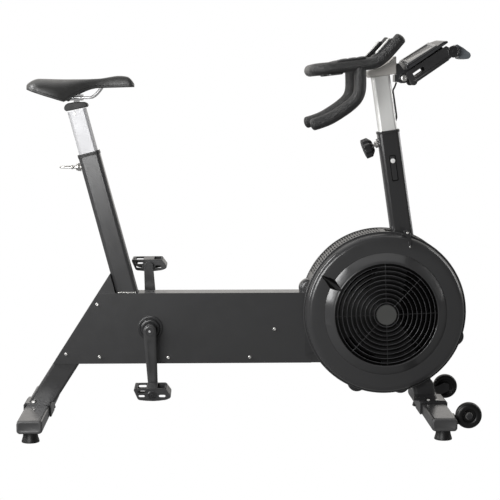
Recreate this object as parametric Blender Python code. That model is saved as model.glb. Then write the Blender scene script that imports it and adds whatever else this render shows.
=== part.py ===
"""Air bike: beam frame, fan drive, adjustable seat post and handlebar post.

Metres, +Z up. +X is the front of the bike (the fan end), -Y is the rider's right.
The origin is on the floor, under the middle of the machine.
"""
import math

import bmesh
import bpy
from mathutils import Matrix, Vector

# Clearance between neighbouring solids.
GAP = 0.0003

# Floor stand: two cross tubes (stabilisers) with caps, feet and transport wheels.
REAR_BAR_X = -0.610
FRONT_BAR_X = 0.539
BAR_WIDTH = 0.070
BAR_BOTTOM = 0.0285
BAR_TOP = 0.0645
BAR_HALF_LENGTH = 0.245
BAR_WALL = 0.0025
BAR_CORNER = 0.007
CAP_THICKNESS = 0.010
FOOT_Y = 0.222
FOOT_RADIUS = 0.025
FOOT_STEM_RADIUS = 0.005
SHOE_HALF_WIDTH = 0.047
SHOE_WALL = 0.0045
SHOE_TOP = 0.0720
WHEEL_X = 0.612
WHEEL_Z = 0.064
WHEEL_RADIUS = 0.037
WHEEL_INNER_Y = 0.197
WHEEL_WIDTH = 0.024

# Main beam: an open channel closed by two screwed side covers.
BEAM_BOTTOM = 0.184
BEAM_TOP = 0.389
BEAM_FRONT_X = 0.182
BEAM_REAR_X = -0.5648
BEAM_HALF_WIDTH = 0.0328
BEAM_WALL = 0.004
COVER_THICKNESS = 0.003
REAR_SLOPE = 0.6402          # run per metre of rise of the raked rear edge
LEG_LENGTH_X = 0.0763
LEG_WIDTH = 0.060

# Seat tube and post, leaning back.
SEAT_RAKE = math.radians(14.8)
SEAT_POINT = (-0.457, 0.790)
SEAT_TUBE_LENGTH = 0.062
SEAT_TUBE_WIDTH = 0.050
SEAT_TUBE_TOP_Z = 0.789
SEAT_POST_LENGTH = 0.0535
SEAT_POST_WIDTH = 0.037
SEAT_POST_TOP_Z = 0.9136
SEAT_POST_FOOT_Z = 0.615
TUBE_WALL = 0.003
TUBE_CORNER = 0.010
POST_CORNER = 0.008
COLLAR_HEIGHT = 0.003
COLLAR_DEPTH = 0.028
SEAT_PIN_Z = 0.7505
CLAMP_X = -0.490
CLAMP_Z = 0.928
RAIL_RADIUS = 0.0039
RAIL_Z = 0.9485
RAIL_Y = 0.024

# Saddle.
SADDLE_REAR_X = -0.628
SADDLE_NOSE_X = -0.325
SADDLE_HALF_WIDTH = 0.092
SADDLE_NOSE_HALF_WIDTH = 0.022
SADDLE_TOP_Z = 1.003
SADDLE_WING_Z = 0.938
SADDLE_UNDER_Z = 0.9645

# Mast and handlebar post, leaning back.
MAST_RAKE = math.radians(8.4)
MAST_POINT = (0.4028, 0.850)
MAST_LENGTH = 0.062
MAST_WIDTH = 0.056
MAST_TOP_Z = 0.8515
MAST_FOOT_Z = 0.5450
BAR_POST_LENGTH = 0.0530
BAR_POST_WIDTH = 0.040
BAR_POST_TOP_Z = 1.0097
BAR_POST_FOOT_Z = 0.690
MAST_KNOB_Z = 0.8215
CABLE_RADIUS = 0.0025
CABLE_Y = -0.010
CABLE_HOLE_Z = 0.884
MAST_KNOB_DROP = math.radians(22.0)

# Handlebar.
GRIP_RADIUS = 0.0172
GRIP_Y = 0.135
CROSS_TUBE_RADIUS = 0.0148
STEM_HALF_WIDTH = 0.030
STEM_REAR = 0.0345
STEM_FRONT = 0.0430

# Fan housing and wheel.
FAN_X = 0.391
FAN_Z = 0.334
HOUSING_RADIUS = 0.2345
HOUSING_SIDES = 36
HOUSING_RIM_Y = 0.0600
HOUSING_FACE_Y = 0.0905
INLET_RADIUS = 0.1757
GRILLE_RADIUS = 0.1460
GRILLE_CLEARANCE = 0.0010         # room for the flats of the round opening
GRILLE_Y = 0.104
GRILLE_THICKNESS = 0.004
BAND_RADIUS = 0.2325
BAND_WALL = 0.0022
LUG_ANGLES = (165.0, 255.0, 285.0, 345.0)
LUG_RADIUS = 0.0150
LUG_CENTRE = 0.2480
PLATE_INNER_Y = 0.0370
PLATE_THICKNESS = 0.0045
FAN_WHEEL_RADIUS = 0.190
FAN_WHEEL_Y0 = -0.0120
FAN_WHEEL_Y1 = 0.0300
FAN_AXLE_RADIUS = 0.006

# Crank drive.
CRANK_X = -0.283
CRANK_Z = 0.2875
CRANK_LENGTH = 0.165
CRANK_LEAN = math.radians(3.0)     # the right crank hangs this far ahead of straight down
CRANK_INNER_Y = 0.084
CRANK_OUTER_Y = 0.098
AXLE_RADIUS = 0.0085
DRIVE_PULLEY_RADIUS = 0.088
FAN_PULLEY_RADIUS = 0.025
BELT_Y0 = -0.0310
BELT_Y1 = -0.0180
BELT_THICKNESS = 0.003
BELT_CLEARANCE = 0.0008          # room for the flats of the belt outline on the pulleys
PEDAL_INNER_Y = 0.103
PEDAL_OUTER_Y = 0.192
SPINDLE_RADIUS = 0.006

MATERIALS = {}


# ---------------------------------------------------------------- helpers

def clear_scene():
    for obj in list(bpy.data.objects):
        bpy.data.objects.remove(obj, do_unlink=True)


def define_material(name, colour, roughness, metallic=0.0):
    mat = bpy.data.materials.new(name)
    mat.use_nodes = True
    shader = mat.node_tree.nodes["Principled BSDF"]
    shader.inputs["Base Color"].default_value = (*colour, 1.0)
    shader.inputs["Roughness"].default_value = roughness
    shader.inputs["Metallic"].default_value = metallic
    MATERIALS[name] = mat


def define_materials():
    define_material("charcoal_paint", (0.055, 0.055, 0.058), 0.42)
    define_material("black_paint", (0.022, 0.022, 0.024), 0.40)
    define_material("black_plastic", (0.028, 0.028, 0.029), 0.45)
    define_material("foam_grip", (0.030, 0.030, 0.030), 0.85)
    define_material("vinyl", (0.025, 0.025, 0.026), 0.50)
    define_material("rubber", (0.020, 0.020, 0.020), 0.80)
    define_material("brushed_aluminium", (0.72, 0.72, 0.72), 0.32, 1.0)
    define_material("steel", (0.55, 0.55, 0.55), 0.28, 1.0)
    define_material("chrome", (0.80, 0.80, 0.80), 0.10, 1.0)
    define_material("grey_casting", (0.52, 0.52, 0.49), 0.45)
    define_material("screen", (0.34, 0.35, 0.33), 0.15)
    define_material("smoke_plastic", (0.16, 0.18, 0.19), 0.20)


def make_object(name, bm, mat, pivot=(0.0, 0.0, 0.0), smooth=True):
    """One node: its mesh is given in world metres, its origin goes to pivot."""
    bmesh.ops.remove_doubles(bm, verts=bm.verts, dist=1e-6)
    bmesh.ops.recalc_face_normals(bm, faces=bm.faces)
    bmesh.ops.translate(bm, verts=bm.verts, vec=-Vector(pivot))
    mesh = bpy.data.meshes.new(name)
    bm.to_mesh(mesh)
    bm.free()
    mesh.materials.append(MATERIALS[mat])
    if smooth:
        mesh.shade_smooth()
        mesh.set_sharp_from_angle(angle=math.radians(32))
    obj = bpy.data.objects.new(name, mesh)
    obj.location = pivot
    bpy.context.scene.collection.objects.link(obj)
    return obj


def helper(name, bm):
    """A shape that only cuts or joins another object."""
    obj = make_object(name, bm, "steel", smooth=False)
    obj.hide_render = True
    obj.display_type = "WIRE"
    return obj


def combine(obj, other, operation):
    modifier = obj.modifiers.new(other.name, "BOOLEAN")
    modifier.operation = operation
    modifier.object = other
    modifier.solver = "EXACT"


def add_loft(bm, loops, ring=False):
    """Skin a list of equal loops, capped at both ends, or closed into a ring."""
    rows = [[bm.verts.new(point) for point in loop] for loop in loops]
    count = len(rows[0])
    pairs = list(zip(rows, rows[1:]))
    if ring:
        pairs.append((rows[-1], rows[0]))
    for lower, upper in pairs:
        for i in range(count):
            j = (i + 1) % count
            bm.faces.new((lower[i], lower[j], upper[j], upper[i]))
    if not ring:
        bm.faces.new(list(reversed(rows[0])))
        bm.faces.new(rows[-1])


def loft(loops, ring=False):
    bm = bmesh.new()
    add_loft(bm, loops, ring)
    return bm


def prism(outline, y0, y1):
    """Extrude an outline of (x, z) points from y0 to y1."""
    return loft([[(x, y, z) for x, z in outline] for y in (y0, y1)])


def box(x0, x1, y0, y1, z0, z1):
    return prism([(x0, z0), (x1, z0), (x1, z1), (x0, z1)], y0, y1)


def rounded_rectangle(length, width, corner, steps=3):
    """Corner points (u, v) of a rectangle with round corners, centred on zero."""
    points = []
    for quarter in range(4):
        start = quarter * math.pi / 2
        cu = (length / 2 - corner) * (1 if quarter in (0, 3) else -1)
        cv = (width / 2 - corner) * (1 if quarter in (0, 1) else -1)
        for step in range(steps + 1):
            angle = start + step * math.pi / 2 / steps
            points.append((cu + corner * math.cos(angle), cv + corner * math.sin(angle)))
    return points


def frame_of(axis):
    """Two unit vectors square to the axis."""
    axis = Vector(axis).normalized()
    guide = Vector((0, 1, 0)) if abs(axis.y) < 0.9 else Vector((0, 0, 1))
    side = axis.cross(guide).normalized()
    return side, axis.cross(side).normalized()


def turned(profile, centre, axis=(0, 1, 0), segments=32, ring=False):
    """Turn a profile of (radius, distance along the axis) about a line."""
    axis = Vector(axis).normalized()
    side, up = frame_of(axis)
    centre = Vector(centre)
    bm = bmesh.new()
    rows = []
    for radius, along in profile:
        base = centre + axis * along
        if radius < 1e-7:
            rows.append([bm.verts.new(base)])
            continue
        row = []
        for i in range(segments):
            angle = 2 * math.pi * i / segments
            row.append(bm.verts.new(base + radius * (math.cos(angle) * side + math.sin(angle) * up)))
        rows.append(row)
    pairs = list(zip(rows, rows[1:]))
    if ring:
        pairs.append((rows[-1], rows[0]))
    for a, b in pairs:
        for i in range(segments):
            j = (i + 1) % segments
            if len(a) == 1:
                bm.faces.new((a[0], b[j], b[i]))
            elif len(b) == 1:
                bm.faces.new((a[i], a[j], b[0]))
            else:
                bm.faces.new((a[i], a[j], b[j], b[i]))
    return bm


def rod(start, end, radius, segments=16):
    start, end = Vector(start), Vector(end)
    length = (end - start).length
    profile = [(0, 0), (radius, 0), (radius, length), (0, length)]
    return turned(profile, start, end - start, segments)


def smooth_path(points, spacing):
    """Points about one spacing apart on a smooth curve through the given ones."""
    points = [Vector(p) for p in points]
    result = []
    for i in range(len(points) - 1):
        before = points[max(i - 1, 0)]
        a, b = points[i], points[i + 1]
        after = points[min(i + 2, len(points) - 1)]
        steps = max(1, round((b - a).length / spacing))
        for step in range(steps):
            t = step / steps
            result.append(0.5 * (2 * a + (b - before) * t
                                 + (2 * before - 5 * a + 4 * b - after) * t * t
                                 + (3 * a - before - 3 * b + after) * t ** 3))
    result.append(points[-1])
    return result


def swept(path, radius, sides=12, dome=True):
    """A round bar along a path, with domed or flat ends."""
    path = [Vector(p) for p in path]
    tangents = []
    for i in range(len(path)):
        tangents.append((path[min(i + 1, len(path) - 1)] - path[max(i - 1, 0)]).normalized())
    side = frame_of(tangents[0])[0]
    stations = []
    for point, tangent in zip(path, tangents):
        side = (side - tangent * side.dot(tangent)).normalized()
        stations.append((point, tangent, side))
    if dome:
        first, last = stations[0], stations[-1]
        reach = radius * 0.6
        head = [(first[0] - first[1] * reach * math.sin(a), first[1], first[2], math.cos(a))
                for a in (1.15, 0.6)]
        tail = [(last[0] + last[1] * reach * math.sin(a), last[1], last[2], math.cos(a))
                for a in (0.6, 1.15)]
    else:
        head, tail = [], []
    loops = []
    for point, tangent, side, scale in head + [(*s, 1.0) for s in stations] + tail:
        up = tangent.cross(side)
        loop = []
        for k in range(sides):
            angle = 2 * math.pi * k / sides
            offset = side * math.cos(angle) + up * math.sin(angle)
            loop.append(point + radius * scale * offset)
        loops.append(loop)
    return loft(loops)


class Raked:
    """A straight line in the XZ plane that leans back by a rake angle."""

    def __init__(self, point, rake):
        self.point = point
        self.slope = math.tan(rake)
        self.axis = Vector((-math.sin(rake), 0, math.cos(rake)))
        self.across = Vector((math.cos(rake), 0, math.sin(rake)))

    def at(self, z):
        return Vector((self.point[0] + (self.point[1] - z) * self.slope, 0, z))

    def section(self, length, width, corner, z, level=False):
        """Section loop at height z, cut square to the line, or level with the floor."""
        centre = self.at(z)
        loop = []
        for u, v in rounded_rectangle(length, width, corner):
            point = centre + self.across * u + Vector((0, v, 0))
            if level:
                point -= self.axis * ((point.z - z) / self.axis.z)
            loop.append(point)
        return loop

    def tube(self, size, corner, wall, z0, z1, level_foot=False):
        """A hollow tube from z0 to z1, open at both ends."""
        inner = (size[0] - 2 * wall, size[1] - 2 * wall)
        inner_corner = max(corner - wall, 0.002)
        return loft([self.section(*size, corner, z0, level_foot),
                     self.section(*size, corner, z1),
                     self.section(*inner, inner_corner, z1),
                     self.section(*inner, inner_corner, z0, level_foot)], ring=True)


SEAT_LINE = Raked(SEAT_POINT, SEAT_RAKE)
MAST_LINE = Raked(MAST_POINT, MAST_RAKE)


def rear_edge_x(z):
    """The raked rear edge of the leg, beam and gusset, one straight line."""
    return BEAM_REAR_X + (z - BEAM_BOTTOM) * REAR_SLOPE


# ---------------------------------------------------------------- floor stand

def bar_section(centre_x, y, inset=0.0):
    """Section of a stabiliser tube at y, shrunk all round by inset."""
    mid = (BAR_TOP + BAR_BOTTOM) / 2
    height = BAR_TOP - BAR_BOTTOM
    corner = max(BAR_CORNER - inset, 0.002)
    outline = rounded_rectangle(BAR_WIDTH - 2 * inset, height - 2 * inset, corner)
    return [(centre_x + u, y, mid + v) for u, v in outline]


def make_stabiliser(name, x):
    ends = (-BAR_HALF_LENGTH, BAR_HALF_LENGTH)
    outer = [bar_section(x, y) for y in ends]
    inner = [bar_section(x, y, BAR_WALL) for y in reversed(ends)]
    tube = make_object(name, loft(outer + inner, ring=True), "charcoal_paint")
    for side in (-1, 1):
        hole = rod((x, side * FOOT_Y, BAR_BOTTOM - 0.01), (x, side * FOOT_Y, BAR_BOTTOM + 0.01),
                   FOOT_STEM_RADIUS + 0.0012)
        combine(tube, helper(f"{name}_hole_{side}", hole), "DIFFERENCE")


def make_end_cap(name, x, side):
    start = BAR_HALF_LENGTH + GAP
    plug = BAR_WALL + 2 * GAP
    stations = [(start - 0.008, plug), (start, plug), (start, 0.0),
                (start + CAP_THICKNESS - 0.002, 0.0), (start + CAP_THICKNESS, 0.002)]
    loops = [bar_section(x, side * y, inset) for y, inset in stations]
    make_object(name, loft(loops), "black_plastic")


def make_foot(name, x, side):
    profile = [(0, 0), (FOOT_RADIUS - 0.0015, 0), (FOOT_RADIUS, 0.003), (0.0205, 0.017),
               (FOOT_STEM_RADIUS, 0.017), (FOOT_STEM_RADIUS, 0.046), (0, 0.046)]
    centre = (x, side * FOOT_Y, 0.0)
    make_object(name, turned(profile, centre, (0, 0, 1), 20), "rubber", pivot=centre)


def shoe(x):
    """A saddle plate folded over the stabiliser, that a leg stands on."""
    inner = BAR_WIDTH / 2 + GAP
    outer = inner + SHOE_WALL
    seat = BAR_TOP + GAP
    skirt = BAR_BOTTOM + 0.003
    bevel = 0.006
    outline = [(x - outer, skirt), (x - inner, skirt), (x - inner, seat), (x + inner, seat),
               (x + inner, skirt), (x + outer, skirt), (x + outer, SHOE_TOP - bevel),
               (x + outer - bevel, SHOE_TOP), (x - outer + bevel, SHOE_TOP),
               (x - outer, SHOE_TOP - bevel)]
    return prism(outline, -SHOE_HALF_WIDTH, SHOE_HALF_WIDTH)


def make_wheel_bracket(name, side):
    """Foot plate on the stabiliser's front face, arm plate, and the wheel's pin."""
    face = FRONT_BAR_X + BAR_WIDTH / 2 + GAP
    arm = [(face, 0.034), (face + 0.016, 0.036), (WHEEL_X + 0.010, WHEEL_Z - 0.010),
           (WHEEL_X + 0.010, WHEEL_Z + 0.010), (WHEEL_X - 0.006, WHEEL_Z + 0.013),
           (face, 0.061)]
    arm_y = (WHEEL_INNER_Y - 0.0065, WHEEL_INNER_Y - 0.0015)
    bracket = make_object(name, prism(arm, side * arm_y[0], side * arm_y[1]), "black_paint")
    foot = box(face, face + 0.004, side * 0.162, side * (arm_y[0] + 0.001), 0.036, 0.060)
    combine(bracket, helper(name + "_foot", foot), "UNION")
    pin_end = WHEEL_INNER_Y + WHEEL_WIDTH + 0.0005
    profile = [(0, arm_y[0] + 0.001), (0.0045, arm_y[0] + 0.001), (0.0045, pin_end),
               (0.009, pin_end), (0.009, pin_end + 0.003), (0.006, pin_end + 0.0055),
               (0, pin_end + 0.0055)]
    pin = turned(profile, (WHEEL_X, 0, WHEEL_Z), (0, side, 0), 16)
    combine(bracket, helper(name + "_pin", pin), "UNION")


def make_transport_wheel(name, side):
    y0 = WHEEL_INNER_Y
    y1 = y0 + WHEEL_WIDTH
    r = WHEEL_RADIUS
    profile = [(0.0050, y0), (r - 0.006, y0), (r, y0 + 0.006), (r, y1 - 0.006), (r - 0.006, y1),
               (0.022, y1 - 0.005), (0.0105, y1), (0.0050, y1)]
    bm = turned(profile, (WHEEL_X, 0, WHEEL_Z), (0, side, 0), 24, ring=True)
    make_object(name, bm, "rubber", pivot=(WHEEL_X, side * (y0 + y1) / 2, WHEEL_Z))


def make_floor_stand():
    for end, x in (("rear", REAR_BAR_X), ("front", FRONT_BAR_X)):
        make_stabiliser(f"{end}_stabiliser", x)
        for hand, side in (("right", -1), ("left", 1)):
            make_end_cap(f"{end}_{hand}_end_cap", x, side)
            make_foot(f"{end}_{hand}_foot", x, side)
    for hand, side in (("right", -1), ("left", 1)):
        make_wheel_bracket(f"{hand}_wheel_bracket", side)
        make_transport_wheel(f"{hand}_transport_wheel", side)


# ---------------------------------------------------------------- frame

def make_main_beam():
    """Channel with a raked rear wall, and a gusset that runs up to the back of the seat tube."""
    wall = BEAM_WALL
    shift = wall * math.sqrt(1 + REAR_SLOPE ** 2)
    low, high = BEAM_BOTTOM + wall, BEAM_TOP - wall
    behind = SEAT_TUBE_LENGTH / 2 / math.cos(SEAT_RAKE) + 2 * GAP
    tube_back = SEAT_LINE.at(BEAM_TOP).x - behind
    rise = (tube_back - rear_edge_x(BEAM_TOP)) / (REAR_SLOPE + SEAT_LINE.slope)
    outline = [(rear_edge_x(BEAM_BOTTOM), BEAM_BOTTOM), (BEAM_FRONT_X, BEAM_BOTTOM),
               (BEAM_FRONT_X, low), (rear_edge_x(low) + shift, low),
               (rear_edge_x(high) + shift, high), (BEAM_FRONT_X, high), (BEAM_FRONT_X, BEAM_TOP),
               (tube_back, BEAM_TOP), (rear_edge_x(BEAM_TOP + rise), BEAM_TOP + rise)]
    make_object("main_beam", prism(outline, -BEAM_HALF_WIDTH, BEAM_HALF_WIDTH), "charcoal_paint")


def make_side_cover(name, side):
    inner = BEAM_HALF_WIDTH + GAP
    outer = inner + COVER_THICKNESS
    outline = [(rear_edge_x(BEAM_BOTTOM), BEAM_BOTTOM), (BEAM_FRONT_X, BEAM_BOTTOM),
               (BEAM_FRONT_X, BEAM_TOP), (rear_edge_x(BEAM_TOP), BEAM_TOP)]
    cover = make_object(name, prism(outline, side * inner, side * outer), "charcoal_paint")
    hole = rod((CRANK_X, side * (inner - 0.01), CRANK_Z), (CRANK_X, side * (outer + 0.01), CRANK_Z),
               0.0212, 28)
    combine(cover, helper(name + "_hole", hole), "DIFFERENCE")


def make_rear_leg():
    """A raked tube from the rear shoe up to the beam, its section level with the floor."""
    def level_loop(z, inset):
        x = rear_edge_x(z) + LEG_LENGTH_X / 2
        outline = rounded_rectangle(LEG_LENGTH_X - 2 * inset, LEG_WIDTH - 2 * inset, 0.008 - inset)
        return [(x + u, v, z) for u, v in outline]
    foot, top = SHOE_TOP - 0.001, BEAM_BOTTOM - GAP
    loops = [level_loop(foot, 0), level_loop(top, 0), level_loop(top, 0.003), level_loop(foot, 0.003)]
    leg = make_object("rear_leg", loft(loops, ring=True), "charcoal_paint")
    combine(leg, helper("rear_leg_shoe", shoe(REAR_BAR_X)), "UNION")


def make_seat_tube():
    size = (SEAT_TUBE_LENGTH, SEAT_TUBE_WIDTH)
    bm = SEAT_LINE.tube(size, TUBE_CORNER, TUBE_WALL, BEAM_TOP + GAP, SEAT_TUBE_TOP_Z, level_foot=True)
    tube = make_object("seat_tube", bm, "charcoal_paint")
    x = SEAT_LINE.at(SEAT_PIN_Z).x
    hole = rod((x - 0.05, 0, SEAT_PIN_Z), (x - 0.015, 0, SEAT_PIN_Z), 0.0056)
    combine(tube, helper("seat_tube_hole", hole), "DIFFERENCE")


def make_collar(name, line, tube_size, tube_corner, post_size, top_z):
    """Plastic bush in a tube's mouth: a flange on top and a sleeve inside."""
    bore = (post_size[0] + 4 * GAP, post_size[1] + 4 * GAP)
    fit = (tube_size[0] - 2 * TUBE_WALL - 2 * GAP, tube_size[1] - 2 * TUBE_WALL - 2 * GAP)
    flange = (tube_size[0] + 0.002, tube_size[1] + 0.002)
    seat = top_z + GAP
    z_top = seat + COLLAR_HEIGHT
    z_foot = top_z - COLLAR_DEPTH
    loops = [line.section(*fit, tube_corner - TUBE_WALL, z_foot),
             line.section(*fit, tube_corner - TUBE_WALL, seat),
             line.section(*flange, tube_corner + 0.001, seat),
             line.section(*flange, tube_corner + 0.001, z_top),
             line.section(*bore, POST_CORNER, z_top),
             line.section(*bore, POST_CORNER, z_foot)]
    make_object(name, loft(loops, ring=True), "black_plastic")


def make_mast():
    size = (MAST_LENGTH, MAST_WIDTH)
    bm = MAST_LINE.tube(size, TUBE_CORNER, TUBE_WALL, MAST_FOOT_Z, MAST_TOP_Z, level_foot=True)
    mast = make_object("mast", bm, "charcoal_paint")
    start, direction = mast_knob_line()
    hole = rod(start - direction * 0.014, start + direction * 0.02, 0.0056)
    combine(mast, helper("mast_hole", hole), "DIFFERENCE")


def make_front_leg():
    """The mast's line carried on below the fan, flaring out onto the front shoe."""
    foot, top = SHOE_TOP - 0.001, 0.1197
    size = (MAST_LENGTH, MAST_WIDTH)
    flare = (MAST_LENGTH + 0.012, MAST_WIDTH + 0.026)
    inner = (MAST_LENGTH - 0.006, MAST_WIDTH - 0.006)
    loops = [MAST_LINE.section(*flare, 0.012, foot, True),
             MAST_LINE.section(*size, TUBE_CORNER, foot + 0.016, True),
             MAST_LINE.section(*size, TUBE_CORNER, top, True),
             MAST_LINE.section(*inner, 0.007, top, True),
             MAST_LINE.section(*inner, 0.007, foot, True)]
    leg = make_object("front_leg", loft(loops, ring=True), "black_paint")
    combine(leg, helper("front_leg_shoe", shoe(FRONT_BAR_X)), "UNION")


def make_fan_fork():
    """Two plates either side of the fan, joined by a crown under the mast and a foot on the leg."""
    outline = [(0.164, 0.372), (0.164, 0.205), (0.300, 0.262), (0.462, 0.1202), (0.538, 0.1202),
               (0.440, 0.300), (0.440, 0.360), (0.477, 0.5438), (0.409, 0.5438), (0.345, 0.400)]
    inner, outer = PLATE_INNER_Y, PLATE_INNER_Y + PLATE_THICKNESS
    fork = make_object("fan_fork", prism(outline, -outer, -inner), "black_paint")
    reach = PLATE_INNER_Y + 0.001
    crown = box(0.411, 0.475, -reach, reach, 0.5320, MAST_FOOT_Z - 4 * GAP)
    combine(fork, helper("fan_fork_crown", crown), "UNION")
    foot = box(0.474, 0.530, -reach, reach, 0.1206, 0.1320)
    combine(fork, helper("fan_fork_foot", foot), "UNION")
    combine(fork, helper("fan_fork_left_plate", prism(outline, inner, outer)), "UNION")
    hole = rod((FAN_X, -0.06, FAN_Z), (FAN_X, 0.06, FAN_Z), FAN_AXLE_RADIUS + 0.0004)
    combine(fork, helper("fan_fork_hole", hole), "DIFFERENCE")


# ---------------------------------------------------------------- seat

def make_seat_post():
    size = (SEAT_POST_LENGTH, SEAT_POST_WIDTH)
    bm = SEAT_LINE.tube(size, POST_CORNER, TUBE_WALL, SEAT_POST_FOOT_Z, SEAT_POST_TOP_Z)
    make_object("seat_post", bm, "brushed_aluminium", pivot=SEAT_LINE.at(SEAT_TUBE_TOP_Z))


def make_seat_head():
    """Cast cap on the seat post, with two ears that hold the saddle clamp's barrel."""
    centre = SEAT_LINE.at(SEAT_POST_TOP_Z)
    shift = Vector((CLAMP_X - centre.x, 0, 0))
    base = SEAT_POST_TOP_Z + 2 * GAP

    def loop(length, width, z, move):
        return [p + shift * move for p in SEAT_LINE.section(length, width, 0.006, z)]
    loops = [loop(0.056, 0.040, base, 0), loop(0.056, 0.040, base + 0.004, 0),
             loop(0.030, 0.050, base + 0.0085, 0.5)]
    head = make_object("seat_head", loft(loops), "black_paint", pivot=centre)
    for side in (-1, 1):
        ear = turned([(0, 0.0205), (0.0112, 0.0205), (0.0112, 0.0270), (0, 0.0270)],
                     (CLAMP_X, 0, CLAMP_Z), (0, side, 0), 20)
        neck = box(CLAMP_X - 0.010, CLAMP_X + 0.010, side * 0.0205, side * 0.0270, 0.9150, CLAMP_Z)
        combine(head, helper(f"seat_head_ear_{side}", ear), "UNION")
        combine(head, helper(f"seat_head_neck_{side}", neck), "UNION")
    slot = rod((CLAMP_X, -0.0202, CLAMP_Z), (CLAMP_X, 0.0202, CLAMP_Z), 0.0108, 20)
    combine(head, helper("seat_head_slot", slot), "DIFFERENCE")


def make_saddle_clamp():
    """Barrel that tilts in the head, under an I-shaped block that grips the rails."""
    base = CLAMP_Z + 0.0125
    low, high = RAIL_Z - RAIL_RADIUS - GAP, RAIL_Z + RAIL_RADIUS + GAP
    web = RAIL_Y - RAIL_RADIUS - GAP
    half = 0.033
    section = [(-half, base), (half, base), (half, low), (web, low), (web, high), (half, high),
               (half, high + 0.005), (-half, high + 0.005), (-half, high), (-web, high),
               (-web, low), (-half, low)]
    loops = [[(x, y, z) for y, z in section] for x in (CLAMP_X - 0.017, CLAMP_X + 0.017)]
    clamp = make_object("saddle_clamp", loft(loops), "black_paint", pivot=(CLAMP_X, 0, CLAMP_Z))
    barrel = rod((CLAMP_X, -0.0198, CLAMP_Z), (CLAMP_X, 0.0198, CLAMP_Z), 0.0102, 20)
    neck = box(CLAMP_X - 0.007, CLAMP_X + 0.007, -0.0195, 0.0195, CLAMP_Z, base + 0.001)
    combine(clamp, helper("saddle_clamp_barrel", barrel), "UNION")
    combine(clamp, helper("saddle_clamp_neck", neck), "UNION")


def make_saddle_rails():
    """One bent rod: two rails joined by a loop at the nose."""
    half = [(-0.580, 0.034, 0.9590), (-0.556, 0.030, 0.9535), (-0.532, RAIL_Y, RAIL_Z),
            (-0.520, RAIL_Y, RAIL_Z), (-0.460, RAIL_Y, RAIL_Z), (-0.448, RAIL_Y, RAIL_Z),
            (-0.426, 0.020, 0.9540), (-0.405, 0.015, 0.9590), (-0.392, 0.008, 0.9597)]
    other = [(x, -y, z) for x, y, z in reversed(half)]
    path = smooth_path(half + [(-0.388, 0, 0.9597)] + other, 0.014)
    bm = swept(path, RAIL_RADIUS, 8, dome=False)
    make_object("saddle_rails", bm, "chrome", pivot=(CLAMP_X, 0, RAIL_Z))


def saddle_half_width(t):
    """Half width of the saddle, t from 0 at the back to 1 at the nose."""
    taper = 1 / (1 + math.exp((t - 0.47) * 11))
    width = SADDLE_NOSE_HALF_WIDTH + (SADDLE_HALF_WIDTH - SADDLE_NOSE_HALF_WIDTH) * taper
    back = math.sqrt(max(0.0, 1 - (max(0.0, 0.16 - t) / 0.16) ** 2.4))
    nose = math.sqrt(max(0.0, 1 - (max(0.0, t - 0.93) / 0.07) ** 2))
    return width * (0.42 + 0.58 * back) * (0.45 + 0.55 * nose)


def saddle_section(t):
    x = SADDLE_REAR_X + (SADDLE_NOSE_X - SADDLE_REAR_X) * t
    half = saddle_half_width(t)
    top = SADDLE_TOP_Z - 0.012 * max(0.0, 0.10 - t) / 0.10 - 0.016 * max(0.0, t - 0.93) / 0.07
    top += 0.008 * math.exp(-((t - 0.86) / 0.12) ** 2)
    wing = SADDLE_WING_Z + 0.040 * min(1.0, abs(t - 0.14) / 0.42) ** 1.3
    under = max(SADDLE_UNDER_Z, wing + 0.001)
    lip = min(0.016, half * 0.45)
    points = [(half - lip, wing), (half, wing + 0.006)]
    for step in range(1, 8):
        angle = math.pi * step / 8
        points.append((half * math.cos(angle) * 0.98,
                       wing + 0.010 + (top - wing - 0.010) * math.sin(angle) ** 0.55))
    points += [(-half, wing + 0.006), (-half + lip, wing), (-half + 1.5 * lip, under),
               (half - 1.5 * lip, under)]
    return [(x, y, z) for y, z in points]


def make_saddle():
    stations = [0.0, 0.04, 0.10, 0.20, 0.32, 0.44, 0.56, 0.68, 0.80, 0.90, 0.96, 1.0]
    pivot = (CLAMP_X, 0, SADDLE_UNDER_Z)
    make_object("saddle", loft([saddle_section(t) for t in stations]), "vinyl", pivot=pivot)


def make_seat_pin():
    """Sprung pull pin through the seat tube's back wall, with a looped handle."""
    back = SEAT_LINE.at(SEAT_PIN_Z).x - SEAT_TUBE_LENGTH / 2 / math.cos(SEAT_RAKE)
    bush_front = back - 0.0032
    tip = SEAT_LINE.at(SEAT_PIN_Z).x - SEAT_POST_LENGTH / 2 / math.cos(SEAT_RAKE) - 0.0022
    grip = bush_front - 0.0195
    profile = [(0, 0), (0.0046, 0), (0.0046, tip - grip), (0.0075, tip - grip),
               (0.0075, tip - grip + 0.004), (0, tip - grip + 0.004)]
    bm = turned(profile, (tip, 0, SEAT_PIN_Z), (-1, 0, 0), 12)
    pin = make_object("seat_pull_pin", bm, "steel", pivot=(tip, 0, SEAT_PIN_Z))
    ring_points = []
    for k in range(11):
        angle = math.pi * k / 10
        ring_points.append((grip - 0.002 - 0.036 * math.sin(angle) ** 0.6,
                            0.024 * math.cos(angle), SEAT_PIN_Z))
    handle = swept(ring_points, 0.0030, 6, dome=False)
    bar = rod((grip - 0.002, -0.0265, SEAT_PIN_Z), (grip - 0.002, 0.0265, SEAT_PIN_Z), 0.0034, 8)
    combine(pin, helper("seat_pull_pin_handle", handle), "UNION")
    combine(pin, helper("seat_pull_pin_bar", bar), "UNION")


# ---------------------------------------------------------------- handlebar

def mast_knob_line():
    """Where the knob's stud leaves the mast's back face, and its outward direction."""
    back = MAST_LINE.at(MAST_KNOB_Z) - MAST_LINE.across * (MAST_LENGTH / 2)
    direction = Vector((-math.cos(MAST_KNOB_DROP), 0, -math.sin(MAST_KNOB_DROP)))
    return back, direction


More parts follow.
